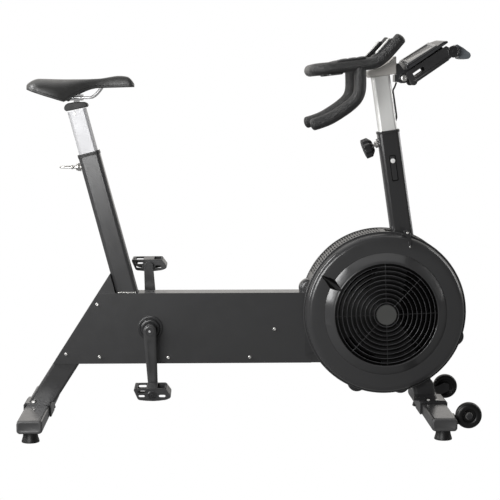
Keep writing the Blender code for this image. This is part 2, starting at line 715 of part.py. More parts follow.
def make_mast_knob():
    start, direction = mast_knob_line()
    side, up = frame_of(direction)
    lobes = 6

    def star(along, radius):
        loop = []
        for k in range(lobes * 4):
            angle = 2 * math.pi * k / (lobes * 4)
            reach = radius * (1 + 0.10 * math.cos(lobes * angle))
            loop.append(start + direction * along
                        + reach * (math.cos(angle) * side + math.sin(angle) * up))
        return loop
    loops = [star(0.0170, 0.014), star(0.0240, 0.0215), star(0.0285, 0.0255), star(0.0430, 0.0255),
             star(0.0465, 0.0225)]
    pivot = start + direction * 0.017
    knob = make_object("mast_knob", loft(loops), "black_plastic", pivot=pivot)
    stud = rod(start - direction * 0.0015, start + direction * 0.018, 0.0046, 12)
    combine(knob, helper("mast_knob_stud", stud), "UNION")


def make_handlebar_post():
    size = (BAR_POST_LENGTH, BAR_POST_WIDTH)
    bm = MAST_LINE.tube(size, POST_CORNER, TUBE_WALL, BAR_POST_FOOT_Z, BAR_POST_TOP_Z - 0.0003)
    post = make_object("handlebar_post", bm, "brushed_aluminium", pivot=MAST_LINE.at(MAST_TOP_Z))
    front = MAST_LINE.at(CABLE_HOLE_Z) + MAST_LINE.across * (BAR_POST_LENGTH / 2)
    front.y = CABLE_Y
    hole = rod(front - MAST_LINE.across * 0.012, front + MAST_LINE.across * 0.01, CABLE_RADIUS + 0.0018, 12)
    combine(post, helper("handlebar_post_hole", hole), "DIFFERENCE")


def make_stem():
    """Cast wedge on the handlebar post, its top edge under the grips' bend."""
    foot = MAST_LINE.at(BAR_POST_TOP_Z)
    rear = foot - MAST_LINE.across * STEM_REAR
    front = foot + MAST_LINE.across * STEM_FRONT
    outline = [(rear.x, rear.z), (front.x, front.z), (0.4215, 1.0660), (0.4150, 1.0660),
               (0.3980, 1.0485), (0.3750, 1.0345), (0.3400, 1.0245), (0.3375, 1.0190)]
    pivot = (foot.x, 0, foot.z)
    bm = prism(outline, -STEM_HALF_WIDTH, STEM_HALF_WIDTH)
    stem = make_object("stem", bm, "grey_casting", pivot=pivot)
    bevel = stem.modifiers.new("soft_edges", "BEVEL")
    bevel.width = 0.0025
    bevel.segments = 2
    bevel.limit_method = "ANGLE"


def make_handlebar():
    y = GRIP_Y
    half = [(0.4176, y, 1.1120), (0.3956, y, 1.0862), (0.3791, y, 1.0683), (0.3620, y, 1.0535),
            (0.3403, y, 1.0445), (0.2800, y, 1.0370), (0.2250, y, 1.0305), (0.1990, y - 0.010, 1.0280),
            (0.1845, y - 0.035, 1.0263)]
    other = [(px, -py, pz) for px, py, pz in reversed(half)]
    path = smooth_path(half + [(0.1835, 0, 1.0262)] + other, 0.042)
    bar = make_object("handlebar", swept(path, GRIP_RADIUS, 10), "foam_grip", pivot=(0.352, 0, 1.0445))
    drop = [(0.3073, 1.0360), (0.3078, 0.9758), (0.2993, 0.9482), (0.2799, 0.9278), (0.2522, 0.9080),
            (0.2244, 0.8914), (0.1993, 0.8812), (0.1790, 0.8750)]
    for side in (-1, 1):
        points = smooth_path([(px, side * y, pz) for px, pz in drop], 0.036)
        combine(bar, helper(f"handlebar_drop_{side}", swept(points, GRIP_RADIUS * 0.99, 10)), "UNION")
    cross = rod((0.352, -y, 1.0450), (0.352, y, 1.0450), CROSS_TUBE_RADIUS, 12)
    combine(bar, helper("handlebar_cross_tube", cross), "UNION")


# ---------------------------------------------------------------- console

CONSOLE_PIVOT = (0.4440, 1.0038)
CONSOLE_HALF_WIDTH = 0.056


def make_console():
    px, pz = CONSOLE_PIVOT
    corner = MAST_LINE.at(BAR_POST_TOP_Z) + MAST_LINE.across * STEM_FRONT
    face, under = corner.x + 0.0008, corner.z - 0.0025
    outline = [(face, under), (face, corner.z + 0.030), (face + 0.007, corner.z + 0.030),
               (px + 0.010, pz + 0.009), (px + 0.010, pz - 0.008), (px - 0.002, pz - 0.012),
               (face - 0.0045, pz - 0.010), (face - 0.0045, under)]
    make_object("console_bracket", prism(outline, -0.024, 0.024), "black_plastic")
    face_low, face_high = Vector((0.4340, 0, 1.0545)), Vector((0.5250, 0, 1.1120))
    for_case = [(face_low.x, face_low.z), (0.4475, 1.0255), (0.4560, 1.0285), (0.5655, 1.1040),
                (0.5600, 1.1130), (0.5450, 1.1165), (face_high.x, face_high.z)]
    half = CONSOLE_HALF_WIDTH
    case = make_object("console_case", prism(for_case, -half, half), "black_plastic", pivot=(px, 0, pz))
    for side in (-1, 1):
        ear = [(px - 0.010, pz - 0.008), (px + 0.002, pz - 0.012), (px + 0.011, pz - 0.004),
               (0.4700, 1.0420), (0.4520, 1.0420), (px - 0.010, pz + 0.012)]
        bm = prism(ear, side * 0.0245, side * 0.0295)
        combine(case, helper(f"console_case_ear_{side}", bm), "UNION")
    along = (face_high - face_low).normalized()
    out = Vector((-along.z, 0, along.x))
    low = face_low + along * 0.016 + out * GAP
    corners = [low, low + along * 0.078, low + along * 0.078 + out * 0.0012, low + out * 0.0012]
    screen = prism([(p.x, p.z) for p in corners], -half + 0.012, half - 0.012)
    make_object("console_screen", screen, "screen", pivot=(px, 0, pz))


def make_console_screw():
    """Clamping screw on the right ear of the console."""
    px, pz = CONSOLE_PIVOT
    profile = [(0, 0.0300), (0.0095, 0.0300), (0.0095, 0.0345), (0.0080, 0.0365), (0, 0.0365)]
    bm = turned(profile, (px, 0, pz), (0, -1, 0), 20)
    make_object("console_screw", bm, "steel", pivot=(px, 0, pz))


def make_device_holder():
    """Ladder frame under the console, a clamping knob and a sprung upper arm."""
    low = Vector((0.4640, 0, 0.9990))
    high = Vector((0.5860, 0, 1.0829))
    along = (high - low).normalized()
    out = Vector((-along.z, 0, along.x))
    length = (high - low).length

    def slab(a0, a1, t0, t1, y0, y1):
        corners = [(a0, t0), (a1, t0), (a1, t1), (a0, t1)]
        points = [low + along * a + out * t for a, t in corners]
        return prism([(p.x, p.z) for p in points], y0, y1)
    frame = make_object("device_holder", slab(0, length, 0, 0.006, -0.045, 0.045), "black_plastic",
                        pivot=low)
    for side in (-1, 1):
        cheek = slab(-0.001, length - 0.020, -0.016, 0.001, side * 0.040, side * 0.045)
        combine(frame, helper(f"device_holder_cheek_{side}", cheek), "UNION")
        lug = [(0.4548, 0.9975), (0.4700, 0.9975), (0.4760, 1.0110), (0.4700, 1.0250), (0.4600, 1.0250),
               (0.4560, 1.0090)]
        combine(frame, helper(f"device_holder_lug_{side}", prism(lug, side * 0.0298, side * 0.0410)), "UNION")
    for a0, a1 in ((0.022, 0.062), (0.072, 0.122)):
        for y0, y1 in ((-0.035, -0.006), (0.006, 0.035)):
            window = slab(a0, a1, -0.01, 0.02, y0, y1)
            combine(frame, helper(f"device_holder_window_{a0}_{y0}", window), "DIFFERENCE")
    lip = slab(-0.001, 0.006, -0.014, 0.006, -0.045, 0.045)
    combine(frame, helper("device_holder_lip", lip), "UNION")
    side_window = slab(0.012, 0.034, -0.0115, -0.003, -0.060, 0.060)
    combine(frame, helper("device_holder_side_window", side_window), "DIFFERENCE")
    arm_root = low + along * (length - 0.012) + out * 0.0065
    corner = arm_root + along * 0.013
    heel = corner - out * 0.0225
    top = arm_root + out * 0.0055
    outline = [(arm_root.x, arm_root.z), (corner.x, corner.z), (heel.x, heel.z), (0.6010, 1.0600),
               (0.6216, 1.0587), (0.6300, 1.0620), (0.6323, 1.0688), (0.6291, 1.0739), (0.5949, 1.0951),
               (top.x, top.z)]
    arm = prism(outline, -0.030, 0.030)
    make_object("device_arm", arm, "smoke_plastic", pivot=arm_root)
    centre = low + along * (length - 0.0072) - out * 0.0005
    knob = turned([(0, 0.0455), (0.0150, 0.0455), (0.0165, 0.048), (0.0165, 0.058), (0.0140, 0.061),
                   (0, 0.061)], (centre.x, 0, centre.z), (0, -1, 0), 20)
    make_object("device_knob", knob, "black_plastic", pivot=(centre.x, -0.0455, centre.z))


def make_console_cable():
    """Lead from under the console bracket down the post's front and in through its wall."""
    px, pz = CONSOLE_PIVOT
    route = [(px - 0.0195, pz - 0.0118), (px - 0.0240, 0.9790)]
    stand_off = BAR_POST_LENGTH / 2 + CABLE_RADIUS + 0.0008
    for z in (0.9640, 0.9420, 0.9150, CABLE_HOLE_Z + 0.010):
        p = MAST_LINE.at(z) + MAST_LINE.across * stand_off
        route.append((p.x, p.z))
    for depth in (0.0015, -0.0085):
        p = MAST_LINE.at(CABLE_HOLE_Z) + MAST_LINE.across * (BAR_POST_LENGTH / 2 + depth)
        route.append((p.x, p.z))
    path = smooth_path([(x, CABLE_Y, z) for x, z in route], 0.009)
    bm = swept(path, CABLE_RADIUS, 8, dome=False)
    make_object("console_cable", bm, "rubber", pivot=path[0])


# ---------------------------------------------------------------- crank drive

def crank_foot(side):
    """Centre of the pedal spindle on that side's crank, in the XZ plane."""
    reach = CRANK_LENGTH * (1 if side < 0 else -1)
    return (CRANK_X + reach * math.sin(CRANK_LEAN), CRANK_Z - reach * math.cos(CRANK_LEAN))


def two_circle_outline(centre_a, radius_a, centre_b, radius_b, steps=9):
    """Outline of two circles joined by their outer tangents."""
    (ax, az), (bx, bz) = centre_a, centre_b
    distance = math.hypot(bx - ax, bz - az)
    heading = math.atan2(bz - az, bx - ax)
    lean = math.acos((radius_a - radius_b) / distance)
    points = []
    for k in range(steps + 1):
        angle = heading + lean + (2 * math.pi - 2 * lean) * k / steps
        points.append((ax + radius_a * math.cos(angle), az + radius_a * math.sin(angle)))
    for k in range(steps + 1):
        angle = heading - lean + 2 * lean * k / steps
        points.append((bx + radius_b * math.cos(angle), bz + radius_b * math.sin(angle)))
    return points


def make_crank(name, side):
    """Crank arm with its boss on the axle and the pedal spindle fixed in its eye."""
    foot = crank_foot(side)
    outline = two_circle_outline((CRANK_X, CRANK_Z), 0.0185, foot, 0.0135)
    bm = prism(outline, side * CRANK_INNER_Y, side * CRANK_OUTER_Y)
    crank = make_object(name, bm, "black_paint", pivot=(CRANK_X, 0, CRANK_Z))
    boss = rod((CRANK_X, side * 0.0500, CRANK_Z), (CRANK_X, side * (CRANK_INNER_Y + 0.002), CRANK_Z),
               0.0165, 20)
    combine(crank, helper(name + "_boss", boss), "UNION")
    bore = rod((CRANK_X, side * 0.0450, CRANK_Z), (CRANK_X, side * 0.0940, CRANK_Z),
               AXLE_RADIUS + GAP, 20)
    combine(crank, helper(name + "_bore", bore), "DIFFERENCE")
    profile = [(0, CRANK_OUTER_Y - 0.002), (0.0095, CRANK_OUTER_Y - 0.002),
               (0.0095, PEDAL_INNER_Y - 0.0008), (SPINDLE_RADIUS, PEDAL_INNER_Y - 0.0008),
               (SPINDLE_RADIUS, PEDAL_OUTER_Y - 0.004), (0, PEDAL_OUTER_Y - 0.004)]
    spindle = turned(profile, (foot[0], 0, foot[1]), (0, side, 0), 16)
    combine(crank, helper(name + "_spindle", spindle), "UNION")


def make_pedal(name, side):
    """Open cage pedal: a raked frame with windows around a round spindle barrel."""
    cx, cz = crank_foot(side)
    outline = [(-0.0500, 0.010), (-0.0480, 0.0140), (0.0340, 0.0145), (0.0400, 0.0120), (0.0525, -0.004),
               (0.0505, -0.010), (0.036, -0.0150), (0.004, -0.0178), (-0.034, -0.0150), (-0.0405, -0.010)]
    points = [(cx + u, cz + v) for u, v in outline]
    y0, y1 = side * PEDAL_INNER_Y, side * PEDAL_OUTER_Y
    pedal = make_object(name, prism(points, y0, y1), "black_plastic", pivot=(cx, side * 0.1475, cz))
    wall = 0.006
    ends = (side * (PEDAL_INNER_Y + wall), side * (PEDAL_OUTER_Y - wall))
    for tag, u0, u1 in (("rear", -0.036, -0.015), ("front", 0.015, 0.037)):
        window = box(cx + u0, cx + u1, *ends, cz - 0.03, cz + 0.05)
        combine(pedal, helper(f"{name}_{tag}_window", window), "DIFFERENCE")
    through = (side * (PEDAL_INNER_Y - 0.01), side * (PEDAL_OUTER_Y + 0.01))
    slot = box(cx - 0.039, cx - 0.022, *through, cz - 0.006, cz + 0.006)
    combine(pedal, helper(f"{name}_side_slot", slot), "DIFFERENCE")
    bore = rod((cx, through[0], cz), (cx, side * (PEDAL_OUTER_Y - 0.003), cz), SPINDLE_RADIUS + 0.0005, 16)
    combine(pedal, helper(f"{name}_bore", bore), "DIFFERENCE")


def make_bearing_cup(name, side):
    inner = BEAM_HALF_WIDTH + 2 * GAP
    face = BEAM_HALF_WIDTH + COVER_THICKNESS + 2 * GAP
    bore = AXLE_RADIUS + 0.0004
    profile = [(bore, inner), (0.0205, inner), (0.0205, face), (0.0340, face), (0.0340, 0.0405),
               (0.0250, 0.0490), (bore, 0.0490)]
    bm = turned(profile, (CRANK_X, 0, CRANK_Z), (0, side, 0), 24, ring=True)
    make_object(name, bm, "black_plastic")


def pulley_profile(bore, radius, hub):
    """Rim, thin web and hub of a pulley that fills the belt's lane."""
    y0, y1 = BELT_Y0 - 0.0005, BELT_Y1 + 0.0005
    mid = (y0 + y1) / 2
    rim = radius - 0.008
    return [(bore, y0), (hub, y0), (hub, mid - 0.002), (rim, mid - 0.002), (rim, y0), (radius, y0),
            (radius, y1), (rim, y1), (rim, mid + 0.002), (hub, mid + 0.002), (hub, y1), (bore, y1)]


def make_crank_drive():
    centre = (CRANK_X, 0, CRANK_Z)
    axle = rod((CRANK_X, -0.0930, CRANK_Z), (CRANK_X, 0.0930, CRANK_Z), AXLE_RADIUS, 20)
    make_object("crank_axle", axle, "steel", pivot=centre)
    bm = turned(pulley_profile(AXLE_RADIUS + GAP, DRIVE_PULLEY_RADIUS, 0.022), centre, (0, 1, 0), 24, True)
    make_object("drive_pulley", bm, "black_plastic", pivot=centre)
    fan_centre = (FAN_X, 0, FAN_Z)
    y0, y1 = BELT_Y0 - 0.0005, BELT_Y1 + 0.0005
    r = FAN_AXLE_RADIUS
    profile = [(0, -0.0560), (r, -0.0560), (r, y0), (FAN_PULLEY_RADIUS, y0), (FAN_PULLEY_RADIUS, y1),
               (r, y1), (r, 0.0560), (0, 0.0560)]
    bm = turned(profile, fan_centre, (0, 1, 0), 24)
    make_object("fan_axle", bm, "steel", pivot=fan_centre)
    loops = []
    for y, grow in ((BELT_Y0, BELT_THICKNESS), (BELT_Y1, BELT_THICKNESS), (BELT_Y1, 0), (BELT_Y0, 0)):
        outline = two_circle_outline((CRANK_X, CRANK_Z), DRIVE_PULLEY_RADIUS + BELT_CLEARANCE + grow,
                                     (FAN_X, FAN_Z), FAN_PULLEY_RADIUS + BELT_CLEARANCE + grow, 18)
        loops.append([(x, y, z) for x, z in outline])
    make_object("drive_belt", loft(loops, ring=True), "rubber")
    for hand, side in (("right", -1), ("left", 1)):
        make_bearing_cup(f"{hand}_bearing_cup", side)
        make_crank(f"{hand}_crank", side)
        make_pedal(f"{hand}_pedal", side)


# ---------------------------------------------------------------- fan

def polar_grid(radii, angles, solid, y0, y1):
    """Plate made of polar cells; solid(row, column) says which cells hold material."""
    bm = bmesh.new()
    count = len(angles)
    verts = {}

    def vert(row, column, y):
        key = (row, column % count, y)
        if key not in verts:
            angle = angles[column % count]
            verts[key] = bm.verts.new((FAN_X + radii[row] * math.cos(angle), y,
                                       FAN_Z + radii[row] * math.sin(angle)))
        return verts[key]
    rows = len(radii) - 1

    def is_solid(row, column):
        return 0 <= row < rows and solid(row, column % count)
    for row in range(rows):
        for column in range(count):
            if not is_solid(row, column):
                continue
            for y in (y0, y1):
                bm.faces.new((vert(row, column, y), vert(row + 1, column, y),
                              vert(row + 1, column + 1, y), vert(row, column + 1, y)))
            edges = [((row, column), (row, column + 1), is_solid(row - 1, column)),
                     ((row + 1, column), (row + 1, column + 1), is_solid(row + 1, column)),
                     ((row, column), (row + 1, column), is_solid(row, column - 1)),
                     ((row, column + 1), (row + 1, column + 1), is_solid(row, column + 1))]
            for a, b, covered in edges:
                if not covered:
                    bm.faces.new((vert(*a, y0), vert(*b, y0), vert(*b, y1), vert(*a, y1)))
    return bm


def spoke_angles(spokes, half_angle, parts):
    """Angles of the cell edges: a narrow cell on each spoke, equal cells between."""
    pitch = 2 * math.pi / spokes
    angles = []
    for spoke in range(spokes):
        start = spoke * pitch + half_angle
        angles.append(spoke * pitch - half_angle)
        for part in range(parts):
            angles.append(start + (pitch - 2 * half_angle) * part / parts)
    return angles


def make_grille(name, side):
    """Hub, rings and eight spokes of an air inlet."""
    hub, rings, bar = 0.0290, 2, 0.0050
    pitch = (GRILLE_RADIUS - hub) / rings
    radii = [0.0075, hub]
    for ring in range(1, rings + 1):
        outer = hub + ring * pitch
        radii += [outer - bar, outer]
    parts = 3
    angles = spoke_angles(8, math.radians(2.0), parts)

    def solid(row, column):
        return row % 2 == 0 or column % (parts + 1) == 0
    y0, y1 = side * GRILLE_Y, side * (GRILLE_Y + GRILLE_THICKNESS)
    make_object(name, polar_grid(radii, angles, solid, y0, y1), "black_plastic", smooth=False)


def cover_profile(inlet):
    """Dished cover from its rim to the inlet edge, given as the points of that edge."""
    outside = [(0.2318, HOUSING_RIM_Y + GAP), (HOUSING_RADIUS, HOUSING_RIM_Y + GAP), (HOUSING_RADIUS, 0.0675),
               (0.2270, 0.0785), (0.2120, 0.0890)]
    inside = [(0.2105, 0.0866), (0.2250, 0.0765), (0.2318, 0.0665)]
    return outside + inlet + inside


def inlet_ring_points(edge):
    """Raised ring round the grille, from the cover's face to the bore and back."""
    bore = GRILLE_RADIUS + GRILLE_CLEARANCE
    return [(edge, HOUSING_FACE_Y), (0.1500, 0.1130), (bore, 0.1130), (bore, GRILLE_Y),
            (0.1700, HOUSING_FACE_Y - 0.0025)]


def make_fan_covers():
    """The left cover has the ring moulded on; the right one has a plain edge for the damper."""
    centre = (FAN_X, 0, FAN_Z)
    left = cover_profile(inlet_ring_points(INLET_RADIUS))
    make_object("left_fan_cover", turned(left, centre, (0, 1, 0), HOUSING_SIDES, ring=True), "black_plastic")
    edge = INLET_RADIUS + GAP
    right = cover_profile([(edge, HOUSING_FACE_Y), (edge, HOUSING_FACE_Y - 0.0025)])
    make_object("right_fan_cover", turned(right, centre, (0, -1, 0), HOUSING_SIDES, ring=True), "black_plastic")


def make_damper_ring():
    """Turning ring round the right grille, with a pointed lever laid over the cover."""
    centre = (FAN_X, 0, FAN_Z)
    edge = INLET_RADIUS - GAP
    profile = inlet_ring_points(edge) + [(edge, HOUSING_FACE_Y - 0.0025)]
    bm = turned(profile, centre, (0, -1, 0), HOUSING_SIDES, ring=True)
    ring = make_object("damper_ring", bm, "black_plastic", pivot=(FAN_X, -HOUSING_FACE_Y, FAN_Z))

    def polar(radius, degrees, y):
        angle = math.radians(degrees)
        return (FAN_X + radius * math.cos(angle), -y, FAN_Z + radius * math.sin(angle))
    face = HOUSING_FACE_Y + 0.0008
    lever = bmesh.new()
    ridge = [polar(0.1500, 150.4, 0.1136), polar(0.2158, 149.2, 0.0945)]
    foot = [polar(0.1560, 148.6, face), polar(0.1800, 145.8, face), polar(0.2158, 149.2, face),
            polar(0.1760, 154.6, face), polar(0.1560, 152.2, face)]
    v = [lever.verts.new(p) for p in foot + ridge]
    for face_verts in ((0, 1, 2, 3, 4), (0, 5, 1), (1, 5, 6), (1, 6, 2), (2, 6, 3), (3, 6, 5), (3, 5, 4),
                       (4, 5, 0)):
        lever.faces.new([v[i] for i in face_verts])
    combine(ring, helper("damper_ring_lever", lever), "UNION")


def make_guard_band():
    """Cylindrical guard between the two covers, with screw lugs and frame openings."""
    outer, inner = BAND_RADIUS, BAND_RADIUS - BAND_WALL
    y = HOUSING_RIM_Y
    profile = [(inner, -y), (outer, -y), (outer, y), (inner, y)]
    bm = turned(profile, (FAN_X, 0, FAN_Z), (0, 1, 0), HOUSING_SIDES, ring=True)
    band = make_object("guard_band", bm, "black_plastic")
    root = outer - 0.0015
    for degrees in LUG_ANGLES:
        turn = Matrix.Rotation(-math.radians(degrees), 3, "Y")
        rounding = [math.pi * k / 8 - math.pi / 2 for k in range(9)]
        outline = [(root, -LUG_RADIUS)] + [(LUG_CENTRE + LUG_RADIUS * math.cos(a), LUG_RADIUS * math.sin(a))
                                           for a in rounding] + [(root, LUG_RADIUS)]
        points = [turn @ Vector((u, 0, v)) for u, v in outline]
        lug = prism([(FAN_X + p.x, FAN_Z + p.z) for p in points], -0.014, 0.014)
        combine(band, helper(f"guard_band_lug_{degrees:.0f}", lug), "UNION")
    side = PLATE_INNER_Y + PLATE_THICKNESS + 0.002
    for tag, x0, x1, half, z0, z1 in (("beam", 0.12, 0.25, side, 0.178, 0.395),
                                      ("mast", 0.395, 0.492, 0.0300, 0.50, 0.60),
                                      ("leg", 0.445, 0.560, side, 0.09, 0.170)):
        opening = box(x0, x1, -half, half, z0, z1)
        combine(band, helper(f"guard_band_{tag}_opening", opening), "DIFFERENCE")


def make_fan_wheel():
    """Hub, twelve straight blades and a stiffening rim."""
    radii = [FAN_AXLE_RADIUS + GAP, 0.034, 0.175, FAN_WHEEL_RADIUS]
    parts = 2
    angles = spoke_angles(12, math.radians(1.1), parts)

    def solid(row, column):
        return row % 2 == 0 or column % (parts + 1) == 0
    bm = polar_grid(radii, angles, solid, FAN_WHEEL_Y0, FAN_WHEEL_Y1)
    make_object("fan_wheel", bm, "black_plastic", pivot=(FAN_X, 0, FAN_Z), smooth=False)


def make_fan():
    for hand, side in (("right", -1), ("left", 1)):
        make_grille(f"{hand}_grille", side)
    make_fan_covers()
    make_damper_ring()
    make_guard_band()
    make_fan_wheel()


# ---------------------------------------------------------------- whole bike

def main():
    clear_scene()
    define_materials()
    make_floor_stand()
    make_main_beam()
    make_side_cover("right_side_cover", -1)
    make_side_cover("left_side_cover", 1)
    make_rear_leg()
    make_seat_tube()
    make_collar("seat_collar", SEAT_LINE, (SEAT_TUBE_LENGTH, SEAT_TUBE_WIDTH), TUBE_CORNER,
                (SEAT_POST_LENGTH, SEAT_POST_WIDTH), SEAT_TUBE_TOP_Z)
    make_mast()
    make_collar("mast_collar", MAST_LINE, (MAST_LENGTH, MAST_WIDTH), TUBE_CORNER,
                (BAR_POST_LENGTH, BAR_POST_WIDTH), MAST_TOP_Z)
    make_front_leg()
    make_fan_fork()
    make_seat_post()
    make_seat_head()
    make_saddle_clamp()
    make_saddle_rails()
    make_saddle()
    make_seat_pin()
    make_mast_knob()
    make_handlebar_post()
    make_stem()
    make_handlebar()
    make_console()
    make_console_screw()
    make_device_holder()
    make_console_cable()
    make_crank_drive()
    make_fan()


main()
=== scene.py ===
"""Air bike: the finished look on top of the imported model.

Metres, +Z up. +X is the front of the bike, -Y is the rider's right.
"""
import math

import bmesh
import bpy
from mathutils import Matrix, Vector


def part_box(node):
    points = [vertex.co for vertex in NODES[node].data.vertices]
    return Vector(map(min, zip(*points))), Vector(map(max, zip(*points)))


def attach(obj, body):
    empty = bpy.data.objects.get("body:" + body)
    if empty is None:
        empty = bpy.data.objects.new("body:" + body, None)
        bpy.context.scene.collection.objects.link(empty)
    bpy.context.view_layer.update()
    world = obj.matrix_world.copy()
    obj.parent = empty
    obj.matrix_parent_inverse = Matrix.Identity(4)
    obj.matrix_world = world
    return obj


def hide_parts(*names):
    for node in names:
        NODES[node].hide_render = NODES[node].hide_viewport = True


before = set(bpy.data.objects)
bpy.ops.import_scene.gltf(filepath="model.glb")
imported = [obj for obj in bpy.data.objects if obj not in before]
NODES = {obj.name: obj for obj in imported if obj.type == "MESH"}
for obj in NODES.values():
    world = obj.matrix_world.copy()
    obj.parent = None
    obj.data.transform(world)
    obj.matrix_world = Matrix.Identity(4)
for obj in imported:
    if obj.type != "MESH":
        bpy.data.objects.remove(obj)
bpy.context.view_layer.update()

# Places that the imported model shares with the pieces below.
FAN = Vector((0.391, 0.0, 0.334))
RING_EDGE_R, RING_BORE_R, RING_FACE_Y = 0.1754, 0.147, 0.113
CRANK = Vector((-0.283, 0.0, 0.2875))
CRANK_LENGTH, CRANK_LEAN = 0.165, math.radians(3.0)
SEAT_RAKE, MAST_RAKE = math.radians(14.8), math.radians(8.4)
SEAT_MOUTH, MAST_MOUTH = (-0.457, 0.79), (0.4028, 0.85)
PIVOT_X, PIVOT_Z = 0.444, 1.0038
GRIP_R, GRIP_Y = 0.0172, 0.135
HANDS = (("right", -1), ("left", 1))
UP, ALONG_Y = (0, 0, 1), (0, 1, 0)


# ---------------------------------------------------------------- camera, light, floor

def make_camera():
    data = bpy.data.cameras.new("camera")
    data.sensor_width = 36.0
    data.lens = 107.5
    data.clip_end = 60.0
    camera = bpy.data.objects.new("camera", data)
    camera.location = (-0.1213, -4.3, 0.9701)
    camera.rotation_euler = (math.radians(90 - 6.114), 0, math.radians(-1.688))
    bpy.context.scene.collection.objects.link(camera)
    bpy.context.scene.camera = camera


def add_area(name, place, target, size, power):
    data = bpy.data.lights.new(name, "AREA")
    data.shape = "RECTANGLE"
    data.size, data.size_y = size
    data.energy = power
    lamp = bpy.data.objects.new(name, data)
    lamp.location = place
    lamp.rotation_euler = (Vector(target) - Vector(place)).to_track_quat("-Z", "Y").to_euler()
    bpy.context.scene.collection.objects.link(lamp)


def add_node(tree, kind, vector=None, **inputs):
    """Adds a shader node, feeds its Vector and sets its other inputs by name."""
    node = tree.nodes.new("ShaderNode" + kind)
    if vector:
        tree.links.new(vector, node.inputs["Vector"])
    for name, value in inputs.items():
        node.inputs[name.replace("_", " ").title()].default_value = value
    return node


def split_by_camera(tree, lighting, seen, output):
    """Shows one shader to the camera and gives the other to all other rays."""
    link = tree.links.new
    mix = add_node(tree, "MixShader")
    link(add_node(tree, "LightPath").outputs["Is Camera Ray"], mix.inputs["Fac"])
    link(lighting.outputs[0], mix.inputs[1])
    link(seen.outputs[0], mix.inputs[2])
    link(mix.outputs[0], add_node(tree, output).inputs["Surface"])


def make_world():
    """White studio: bright behind, above and beside, dimmer on the camera's side."""
    world = bpy.data.worlds.new("studio")
    bpy.context.scene.world = world
    world.use_nodes = True
    tree = world.node_tree
    tree.nodes.clear()
    split = add_node(tree, "SeparateXYZ", add_node(tree, "TexCoord").outputs["Generated"])
    depth = add_node(tree, "MapRange", from_min=-0.1, from_max=0.6, to_min=0.05, to_max=1.0)
    depth.interpolation_type = "SMOOTHSTEP"
    tree.links.new(split.outputs["Y"], depth.inputs["Value"])
    studio = add_node(tree, "Background", color=(0.9, 0.875, 0.84, 1))
    tree.links.new(depth.outputs["Result"], studio.inputs["Strength"])
    backdrop = add_node(tree, "Background", color=(1, 1, 1, 1), strength=1.0)
    split_by_camera(tree, studio, backdrop, "OutputWorld")


def make_studio():
    make_camera()
    make_world()
    add_area("front", (-1.4, -3.5, 1.1), (-0.2, 0, 0.6), (1.8, 1.3), 82)
    add_area("left", (-2.3, -0.5, 1.7), (0.0, 0, 0.4), (0.5, 2.2), 58)
    add_area("right", (2.6, 0.3, 1.5), (0.3, 0, 0.4), (0.5, 1.8), 18)
    add_area("top", (0.0, 0.3, 3.4), (0, 0, 0), (4.0, 3.0), 30)
    bm = bmesh.new()
    bmesh.ops.create_grid(bm, x_segments=1, y_segments=1, size=14.0)
    mesh = bpy.data.meshes.new("floor")
    bm.to_mesh(mesh)
    bm.free()
    floor = bpy.data.objects.new("floor", mesh)
    bpy.context.scene.collection.objects.link(floor)
    mat = bpy.data.materials.new("floor_white")
    mat.use_nodes = True
    tree = mat.node_tree
    tree.nodes.clear()
    seen = add_node(tree, "Emission")
    split_by_camera(tree, add_node(tree, "Emission", strength=0.22), seen, "OutputMaterial")
    mesh.materials.append(mat)
    bpy.context.scene.view_settings.view_transform = "Standard"


# ---------------------------------------------------------------- materials

def surface(name, colour, roughness, metallic=0.0, mottle=0.1, mottle_scale=7.0, grain=0.0,
        grain_scale=900.0, cells=False, coat=0.0, wear=0.0, specular=0.5, rough_spread=0.06):
    """Painted, moulded or metal surface: cloudy colour, uneven gloss, fine grain, worn edges."""
    mat = bpy.data.materials.new(name)
    mat.use_nodes = True
    tree = mat.node_tree
    link = tree.links.new
    shader = tree.nodes["Principled BSDF"]
    for key, value in (("Metallic", metallic), ("Specular IOR Level", specular),
            ("Coat Weight", coat), ("Coat Roughness", 0.12)):
        shader.inputs[key].default_value = value
    place = add_node(tree, "TexCoord").outputs["Object"]
    cloud = add_node(tree, "TexNoise", place, scale=mottle_scale, detail=6.0)
    ramp = tree.nodes.new("ShaderNodeValToRGB")
    for stop, position, scale in zip(ramp.color_ramp.elements, (0.3, 0.7),
            (1 - mottle, 1 + mottle)):
        stop.position = position
        stop.color = (*[min(1.0, c * scale) for c in colour], 1)
    link(cloud.outputs["Fac"], ramp.inputs["Fac"])
    tint = ramp.outputs["Color"]
    if wear:
        edge = add_node(tree, "MapRange", from_min=0.53, from_max=0.62, to_max=wear)
        link(add_node(tree, "NewGeometry").outputs["Pointiness"], edge.inputs["Value"])
        mix = tree.nodes.new("ShaderNodeMix")
        mix.data_type = "RGBA"
        link(edge.outputs["Result"], mix.inputs["Factor"])
        link(tint, mix.inputs["A"])
        mix.inputs["B"].default_value = (*[min(1.0, c * 3 + 0.05) for c in colour], 1)
        tint = mix.outputs["Result"]
    link(tint, shader.inputs["Base Color"])
    smear = add_node(tree, "TexNoise", place, scale=mottle_scale * 5, detail=4.0)
    gloss = add_node(tree, "MapRange", from_min=0.3, from_max=0.7,
        to_min=max(0.02, roughness - rough_spread), to_max=min(1.0, roughness + rough_spread))
    link(smear.outputs["Fac"], gloss.inputs["Value"])
    link(gloss.outputs["Result"], shader.inputs["Roughness"])
    if grain and cells:
        add_bump(tree, add_node(tree, "TexVoronoi", place, scale=grain_scale).outputs["Distance"],
            grain)
    elif grain:
        add_bump(tree, add_node(tree, "TexNoise", place, scale=grain_scale,
            detail=3.0).outputs["Fac"], grain)
    return mat


